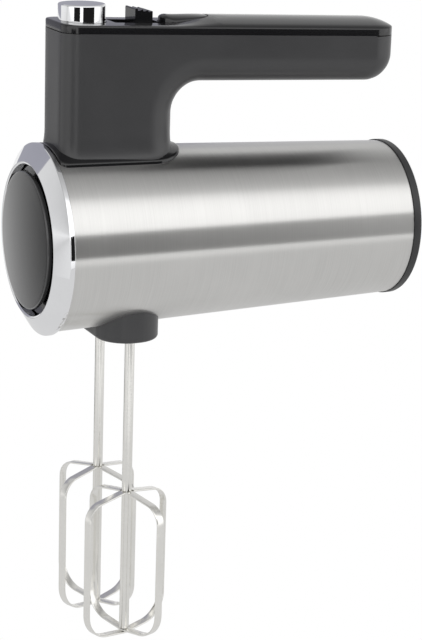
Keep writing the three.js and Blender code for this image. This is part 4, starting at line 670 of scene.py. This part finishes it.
def gap_half(s):
    """Half width of the inner columns: the slot's, or the turbo opening's with its round ends,
    drawn in at the cover's rear corner."""
    into = np.minimum(s - TURBO[0], TURBO[1] - s)
    end = np.clip(TURBO_HALF - into, 0, None)
    opening = np.sqrt(np.clip(TURBO_HALF**2 - end**2, 0.01, None))
    inside = (s >= TURBO[0]) & (s <= TURBO[1])
    drawn_in = np.minimum(SLOT_HALF, 0.4 * plan_half(s))
    return np.where(s > GRIP_END - REAR_ROUND, drawn_in, np.where(inside, opening, SLOT_HALF))


turn = np.linspace(0, math.pi / 2, 14)
round_end = TURBO_HALF * (1 - np.cos(np.linspace(0, math.pi / 2, 8)))
run = np.concatenate([
    [JOIN, SLOT[0]], np.linspace(34, 54, 6), [SLOT[1]],
    TURBO[0] + round_end, np.linspace(TURBO[0] + 8, TURBO[1] - 8, 6), TURBO[1] - round_end[::-1],
    [83.5], np.linspace(90, 160, 16), GRIP_END - REAR_ROUND + REAR_ROUND * np.sin(turn),
])
s, g, h = run[:, None], gap_half(run)[:, None], plan_half(run)[:, None]
inset, fall = np.array(ROLL[:0:-1]).T
top_y = np.hstack([g + (h - ROLL_IN - g) * [1, 0.75, 0.5, 0.25], g * [1, 0.5], 0 * g])
y = np.hstack([h, h - inset, top_y])
z = np.hstack([seam(s), cover_height(s, h) - fall, cover_height(s, top_y)])
grid = mirrored(np.stack([s + 0 * y, y, z], -1))
last = grid[-1]
drop = (seam(GRIP_END) - last[:, 2]) * [[0.04], [0.5], [1.0]]
grid = np.concatenate([grid, raised(np.stack([last[:, :2]] * 3), last[:, 2] + drop)])
keep = np.ones((grid.shape[0] - 1, grid.shape[1] - 1), bool)
centre = grid.shape[1] // 2
cell_s = np.append((run[1:] + run[:-1]) / 2, [GRIP_END] * 3)
open_rows = between(cell_s, SLOT) | between(cell_s, TURBO)
keep[np.ix_(open_rows, range(centre - 2, centre + 2))] = False
patches = [(front_fan, cells(*front_fan.shape[:2])), (back_fan, cells(*back_fan.shape[:2])),
           (grid, cells(*grid.shape[:2], keep=keep))]
piece("cover_skin", patches, "housing", "gloss_black", ["handle_cover"], wall=COVER_WALL, sharp=50)

# %% [markdown]
# ## Keys
# The eject button is a plated plug with a tight edge, so it is turned. The turbo key is a domed
# wedge, proud of the cover at its front and flush at its rear. Rings shrink from its outline to a
# short spine, each at the height of the formula, because a Bevel couldn't follow that slope. The
# slider keeps its ridged shape from the model.

# %% keys
plug = fillet([(93.7, 0), (93.7, 11.1, 0.2), (110.3, 11.1, 0.8), (110.15, 4.0), (110.05, 0)], 8)
piece("eject_cap", [lathe(plug, 128, "Z", (EJECT_S, 0))], "ejector", "chrome", ["eject_button"])

PAD_GAP, PAD_ROUND = 0.5, 6.4
PAD_LOW = 96.5
PAD_FRONT, PAD_LENGTH, PAD_RISE = 57.0, 24.3, 3.8
PAD_ROLL = [(0, 0.8), (0.02, 0.35), (0.06, 0.1), (0.12, 0.03), (0.25, 0), (0.4, 0), (0.6, 0), (0.8, 0),
            (1, 0)]  # share of the way to the spine, and fall
pad_half = TURBO_HALF - PAD_GAP
pad = resample(rounded_plan(TURBO[0] + PAD_GAP, TURBO[1] - PAD_GAP, pad_half, pad_half, PAD_ROUND,
                            PAD_ROUND), 160)
spine = np.stack([np.clip(pad[:, 0], TURBO[0] + TURBO_HALF, TURBO[1] - TURBO_HALF), 0 * pad[:, 1]], -1)


def turbo_top(s, y):
    """Height of the turbo key: 3.8 mm over the cover's middle line at its front, falling evenly to
    flush at its rear, less up to 1.6 mm over the first 3 mm. A parabola across the width takes
    off 3 mm at the front's sides and 0.5 mm at the rear's."""
    share = (PAD_FRONT + PAD_LENGTH - s) / PAD_LENGTH
    nose = np.clip(1 - (s - PAD_FRONT) / 3, 0, 1) ** 2
    return crown(s, 0) + PAD_RISE * share - 1.6 * nose - (0.5 + 2.5 * share) * (y / 6.6) ** 2


rings = [raised(spine, np.full(len(spine), PAD_LOW)), raised(pad, np.full(len(pad), PAD_LOW))]
for t, fall in PAD_ROLL:
    ring = pad + (spine - pad) * t
    rings.append(raised(ring, turbo_top(ring[:, 0], ring[:, 1]) - fall))
rings = np.array(rings)
piece("turbo_pad", [(rings, cells(*rings.shape[:2], wrap=True))], "turbo_key", "gloss_black",
      ["turbo_button"])

# %% [markdown]
# ## Socket boss
# Under the nose a rounded block carries both whisk sockets. Its wall leaves the barrel and turns
# over a small round at the bottom. Its floor has two round holes in a long outline, which would
# need Booleans or hand-made faces, so each half of it is a fan of rings round its own socket.

# %% boss
BOSS_WALL = 0.8
BOSS_HALF_S, BOSS_HALF_Y, BOSS_ROUND, BOSS_TOP, BOSS_LOW = 15.4, 28.9, 14.6, -26, -46.9
SOCKET_HOLE, SOCKET_DEEP, SOCKET_LIP = 5.4, -40.0, 1.07
boss_plan = resample(rounded_plan(BOSS_S - BOSS_HALF_S, BOSS_S + BOSS_HALF_S, BOSS_HALF_Y, BOSS_HALF_Y,
                                  BOSS_ROUND, BOSS_ROUND), 192)
drop = fillet([(0, BOSS_TOP), (0, BOSS_LOW, 1.6), (-6, BOSS_LOW)], 8)[:-1]
spine_y = np.clip(boss_plan[:, 1], -13.5, 13.5)
lean = boss_plan - np.stack([np.full(len(boss_plan), BOSS_S), spine_y], -1)
lean /= np.linalg.norm(lean, axis=1)[:, None]
wall = np.array([raised(boss_plan + lean * d, np.full(len(boss_plan), z)) for d, z in drop])
rim = wall[-1][:, :2]


def level_ring(plan, z):
    """Plan points at one height."""
    return raised(plan, np.full(len(plan), z))


def socket_floor(side):
    """One half of the floor: rings from inside the socket's hole, over its lip and out to the
    boss's rim and the line that parts the halves."""
    mine = rim[rim[:, 1] * side >= -1e-9]
    mine = mine[np.argsort(np.arctan2(mine[:, 1] - side * 0.01, mine[:, 0] - BOSS_S) * side)]
    line = np.linspace(mine[-1], mine[0], 24)
    line[:, 1] = 0
    loop = np.vstack([mine, line])
    centre = np.array([BOSS_S, side * SOCKET_Y])
    bearing = np.arctan2(loop[:, 1] - centre[1], loop[:, 0] - centre[0])
    hole = centre + SOCKET_HOLE * np.stack([np.cos(bearing), np.sin(bearing)], -1)
    face = level_ring((hole - centre) * SOCKET_LIP + centre, BOSS_LOW)
    far = level_ring(loop, BOSS_LOW)
    return np.array([level_ring(hole, SOCKET_DEEP), level_ring(hole, BOSS_LOW + 0.3), face,
                     (face + far) / 2, far])


patches = [(part, cells(*part.shape[:2], wrap=True)) for part in (wall, socket_floor(1), socket_floor(-1))]
piece("boss_skin", patches, "housing", "handle_grey", ["socket_boss"], wall=BOSS_WALL)

# %% [markdown]
# ## Whisks
# Each whisk is a straight shaft with two loops of flat strip crossed at right angles. A loop
# leaves the shaft, falls slightly to its shoulder, runs straight down and closes in a wide bend. A
# curve with a bevel object could do it, but its tilt has to be watched at each bend. Here a
# rounded rectangle is carried along the path and kept square to it.

# %% strips
STRIP, STRIP_HALF, STRIP_ROUND = 0.9, 2.15, 0.38
LOOP_HALF, LOOP_HEIGHT, LAYER = 25, 74.6, 1.2
SHOULDER_FALL, FLOOR_RISE = 3.4, 3
SHAFT_RADIUS, SHAFT_TOP, SHAFT_LOW, LOOP_START = 2.4, 4, FLOOR + 2.5, 2.75


def strip_loop(layer):
    """Points along one loop in its own plane: u across the whisk, z up. The upper layer's floor
    lies 1.2 mm above the lower one's, so that the two cross without meeting."""
    low = FLOOR + layer * LAYER + STRIP / 2
    top = FLOOR + LOOP_HEIGHT - STRIP / 2
    r = LOOP_HALF - STRIP / 2
    path = fillet([
        (-LOOP_START, top), (-r, top - SHOULDER_FALL, 8.9), (-r, low + FLOOR_RISE, 13.4), (0, low, 6),
        (r, low + FLOOR_RISE, 13.4), (r, top - SHOULDER_FALL, 8.9), (LOOP_START, top),
    ], 14)
    heading = np.gradient(path, axis=0)
    heading /= np.linalg.norm(heading, axis=1)[:, None]
    side = np.stack([-heading[:, 1], heading[:, 0]], -1)
    outline = fillet([
        (0, STRIP / 2), (STRIP_HALF, STRIP / 2, STRIP_ROUND), (STRIP_HALF, -STRIP / 2, STRIP_ROUND),
        (-STRIP_HALF, -STRIP / 2, STRIP_ROUND), (-STRIP_HALF, STRIP / 2, STRIP_ROUND), (0, STRIP / 2),
    ], 4)[:-1]
    across, out = outline[:, 0], outline[:, 1]
    ring = np.stack([path[:, :1] + side[:, :1] * out, across + 0 * path[:, :1],
                     path[:, 1:] + side[:, 1:] * out], -1)
    ends = [np.repeat(ring[i].mean(0)[None], len(across), 0) for i in (0, -1)]
    return np.concatenate([[ends[0]], ring, [ends[1]]])


def set_whisk(points, side, degrees):
    """Turns points about the whisk's own axis and carries them to their socket."""
    a = math.radians(degrees)
    c, w = math.cos(a), math.sin(a)
    x, y = points[..., 0] * c - points[..., 1] * w, points[..., 0] * w + points[..., 1] * c
    return np.stack([x + BOSS_S, y + side * SOCKET_Y, points[..., 2]], -1)


# %% whisks
shaft = fillet([(SHAFT_TOP, 0), (SHAFT_TOP, SHAFT_RADIUS, 0.5), (SHAFT_LOW, SHAFT_RADIUS, 0.4),
                (SHAFT_LOW, 0)], 4)
for name, side, phase in (("right", 1, 25), ("left", -1, 20)):
    for layer, level in enumerate(("lower", "upper")):
        turned = set_whisk(strip_loop(layer), side, phase + 90 * layer)
        piece(f"whisk_strip_{level}_{name}", [(turned, cells(*turned.shape[:2], wrap=True))],
              f"whisk_{name}", "whisk_steel", [f"whisk_loop_{level}_{name}"], sharp=60)
    piece(f"whisk_rod_{name}", [lathe(shaft, 48, "Z", (BOSS_S, side * SOCKET_Y))], f"whisk_{name}",
          "whisk_steel", [f"whisk_shaft_{name}"])

# %% [markdown]
# ## Everything else
# The pieces that keep their model shape take the finish of their slot. Real mouldings have no
# razor edges, so the ones that can be seen also get a small Bevel. It is a modifier, because the
# model's own meshes stay as they are.

# %% kept pieces
SOFT_WIDTH, SOFT_ANGLE = 0.35, 30
for name, kept in frame["nodes"].items():
    kept.data.materials.clear()
    kept.data.materials.append(looks[slot_of[name]])
for name in ("speed_knob", "rear_cap", "cord_gland"):
    soft = frame["nodes"][name].modifiers.new("soft", "BEVEL")
    soft.width = SOFT_WIDTH * MM
    soft.segments = 2
    soft.limit_method = "ANGLE"
    soft.angle_limit = math.radians(SOFT_ANGLE)
print("kept pieces given a finish", len(frame["nodes"]))

# %% [markdown]
# ## Studio: the sky
# Polished and brushed metal mostly shows the room. Area lights could paint the bands along the
# barrel, but they'd be small and patchy from other sides. So the world's brightness depends on how
# far round the barrel's axis a direction points: white at the front, dark grey overhead and pale
# below. The camera itself sees plain white.

# %% sky
BRIGHTEST = 1.4
BANDS = [(-180, 0.93), (-137, 0.66), (-97, 0.80), (-57, 0.82), (-27, 0.83), (-17, 1.05), (-7, 1.25),
         (14, 1.25), (17, 1.30), (33, 1.38), (48, 1.38), (56, 1.20), (62, 0.76), (73, 0.58),
         (93, 0.43), (104, 0.38), (113, 0.46), (123, 0.60), (140, 0.68), (163, 0.75), (175, 0.88)]
world = bpy.data.worlds.new("studio")
bpy.context.scene.world = world
world.use_nodes = True
tree = world.node_tree
tree.nodes.clear()
link = tree.links.new
way = node(tree, "TexCoord")
parts = node(tree, "SeparateXYZ")
front = node(tree, "Math", {1: -1.0}, operation="MULTIPLY")
round_x = node(tree, "Math", operation="ARCTAN2")
share = node(tree, "MapRange", {"From Min": -math.pi, "From Max": math.pi})
ramp = node(tree, "ValToRGB")
glow = node(tree, "Background", {"Strength": BRIGHTEST})
paper = node(tree, "Background", {"Color": (1, 1, 1, 1)})
ray = node(tree, "LightPath")
pick = node(tree, "MixShader")
out = node(tree, "OutputWorld")
stops = ramp.color_ramp.elements
for i, (angle, level) in enumerate(BANDS):
    place = (angle + 180) / 360
    stop = stops[i] if i < 2 else stops.new(place)
    stop.position = place
    stop.color = (level / BRIGHTEST, level / BRIGHTEST, level / BRIGHTEST, 1)
link(way.outputs["Generated"], parts.inputs["Vector"])
link(parts.outputs["Y"], front.inputs[0])
link(parts.outputs["Z"], round_x.inputs[0])
link(front.outputs[0], round_x.inputs[1])
link(round_x.outputs[0], share.inputs["Value"])
link(share.outputs["Result"], ramp.inputs["Fac"])
link(ramp.outputs["Color"], glow.inputs["Color"])
link(ray.outputs["Is Camera Ray"], pick.inputs["Fac"])
link(glow.outputs["Background"], pick.inputs[1])
link(paper.outputs["Background"], pick.inputs[2])
link(pick.outputs["Shader"], out.inputs["Surface"])
print("bands in the sky", len(stops))

# %% [markdown]
# ## Studio: the floor
# The floor is a pale sheet below the whisks. It shines by itself, a little less to the mixer than
# to the camera, so it is even from every side and throws no shadow edge.

# %% floor
FLOOR_DROP, FLOOR_REACH, FLOOR_SHIFT = -0.46, 1.1, -0.1  # metres
west, east = FLOOR_SHIFT - FLOOR_REACH, FLOOR_SHIFT + FLOOR_REACH
sheet = bpy.data.meshes.new("floor")
sheet.from_pydata([(west, -FLOOR_REACH, FLOOR_DROP), (east, -FLOOR_REACH, FLOOR_DROP),
                   (east, FLOOR_REACH, FLOOR_DROP), (west, FLOOR_REACH, FLOOR_DROP)], [],
                  [(0, 1, 2, 3)])
floor = bpy.data.objects.new("floor", sheet)
bpy.context.scene.collection.objects.link(floor)
pale = bpy.data.materials.new("pale_floor")
pale.use_nodes = True
tree = pale.node_tree
tree.nodes.clear()
ray = node(tree, "LightPath")
level = node(tree, "MapRange", {"To Min": 0.70, "To Max": 1.0})
light = node(tree, "Emission")
out = node(tree, "OutputMaterial")
tree.links.new(ray.outputs["Is Camera Ray"], level.inputs["Value"])
tree.links.new(level.outputs["Result"], light.inputs["Strength"])
tree.links.new(light.outputs["Emission"], out.inputs["Surface"])
pale.cycles.emission_sampling = "NONE"
sheet.materials.append(pale)
print("floor width in metres", east - west)

# %% [markdown]
# ## Studio: the screens
# A photographer puts black and grey card round chrome, so that it has edges to show. Four curved
# cards do that here. They hide from the camera and only show in reflections. Their shine isn't
# sampled as light, because it would only add noise.

# %% screens
COLUMNS = 33


def screen(name, span, low, high, levels, radius=1.05, centre=(0.0, 0.0)):
    """An upright curved screen that only shows in reflections. span is its first and last bearing
    in degrees, from -Y towards +X, and low, high, radius and centre are metres. levels are colours
    spread evenly along it."""
    bearing = np.radians(np.linspace(*span, COLUMNS))
    x, y = centre[0] + radius * np.sin(bearing), centre[1] - radius * np.cos(bearing)
    points = np.concatenate([np.column_stack([x, y, np.full(COLUMNS, z)]) for z in (low, high)])
    mesh = bpy.data.meshes.new(name)
    mesh.from_pydata(points.tolist(), [], cells(2, COLUMNS).tolist())
    places = np.linspace(0, 1, len(levels))
    colour = [np.interp(np.linspace(0, 1, COLUMNS), places, channel) for channel in zip(*levels)]
    rgba = np.tile(np.stack([*colour, np.ones(COLUMNS)], -1), (2, 1))
    layer = mesh.color_attributes.new("level", "FLOAT_COLOR", "POINT")
    layer.data.foreach_set("color", rgba.ravel())
    panel = bpy.data.objects.new(name, mesh)
    bpy.context.scene.collection.objects.link(panel)
    shade_of = bpy.data.materials.new(name)
    shade_of.use_nodes = True
    tree = shade_of.node_tree
    tree.nodes.clear()
    source = node(tree, "Attribute", attribute_name="level")
    glow = node(tree, "Emission")
    out = node(tree, "OutputMaterial")
    tree.links.new(source.outputs["Color"], glow.inputs["Color"])
    tree.links.new(glow.outputs["Emission"], out.inputs["Surface"])
    shade_of.cycles.emission_sampling = "NONE"
    mesh.materials.append(shade_of)
    panel.visible_camera = False
    print("screen", name)


LILAC = (0.36, 0.36, 0.41)
BLACK = (0.012, 0.012, 0.012)
FADE = [(0.9, 0.9, 0.9), (0.5, 0.5, 0.5), (0.12, 0.12, 0.12), (0.06, 0.06, 0.06)]
NEAR, NOSE_SIDE = 1.2, (-0.165, 0.0)
screen("far_grey", (-198, -130), 0.0, 0.9, [LILAC, LILAC])
screen("far_fade", (-162, -130), -0.42, -0.02, FADE)
screen("near_black", (-14, 42), -0.28, 0.29, [BLACK, BLACK], NEAR, NOSE_SIDE)
screen("side_black", (-57, -28), -0.26, 0.14, [BLACK, BLACK], NEAR, NOSE_SIDE)
bpy.context.scene.view_settings.view_transform = "Standard"

# %% [markdown]
# ## Camera
# A long lens looks down a little at the mixer's left side, from ahead of its nose. Track To could
# aim it, but it can't tilt, so the three axes are worked out: ahead from yaw and pitch, right and
# up across it, and both rolled.

# %% camera
YAW, PITCH, ROLL_TILT = math.radians(-24.71), math.radians(15.45), math.radians(1.85)
CAMERA_AT = (-0.49496, -0.86937, 0.21736)  # metres
LENS, SENSOR = 112.75, 36
ahead = Vector((-math.sin(YAW) * math.cos(PITCH), math.cos(YAW) * math.cos(PITCH), -math.sin(PITCH)))
right = ahead.cross(Vector((0, 0, 1))).normalized()
up = right.cross(ahead)
tilted_right = right * math.cos(ROLL_TILT) + up * math.sin(ROLL_TILT)
tilted_up = up * math.cos(ROLL_TILT) - right * math.sin(ROLL_TILT)
lens = bpy.data.cameras.new("camera")
lens.sensor_fit = "VERTICAL"
lens.sensor_height = SENSOR
lens.sensor_width = SENSOR
lens.lens = LENS
lens.clip_start = 0.05
camera = bpy.data.objects.new("camera", lens)
columns = [*zip(tilted_right, tilted_up, -ahead, CAMERA_AT), (0, 0, 0, 1)]
camera.matrix_world = Matrix(columns)
bpy.context.scene.collection.objects.link(camera)
bpy.context.scene.camera = camera
print("camera at", CAMERA_AT)
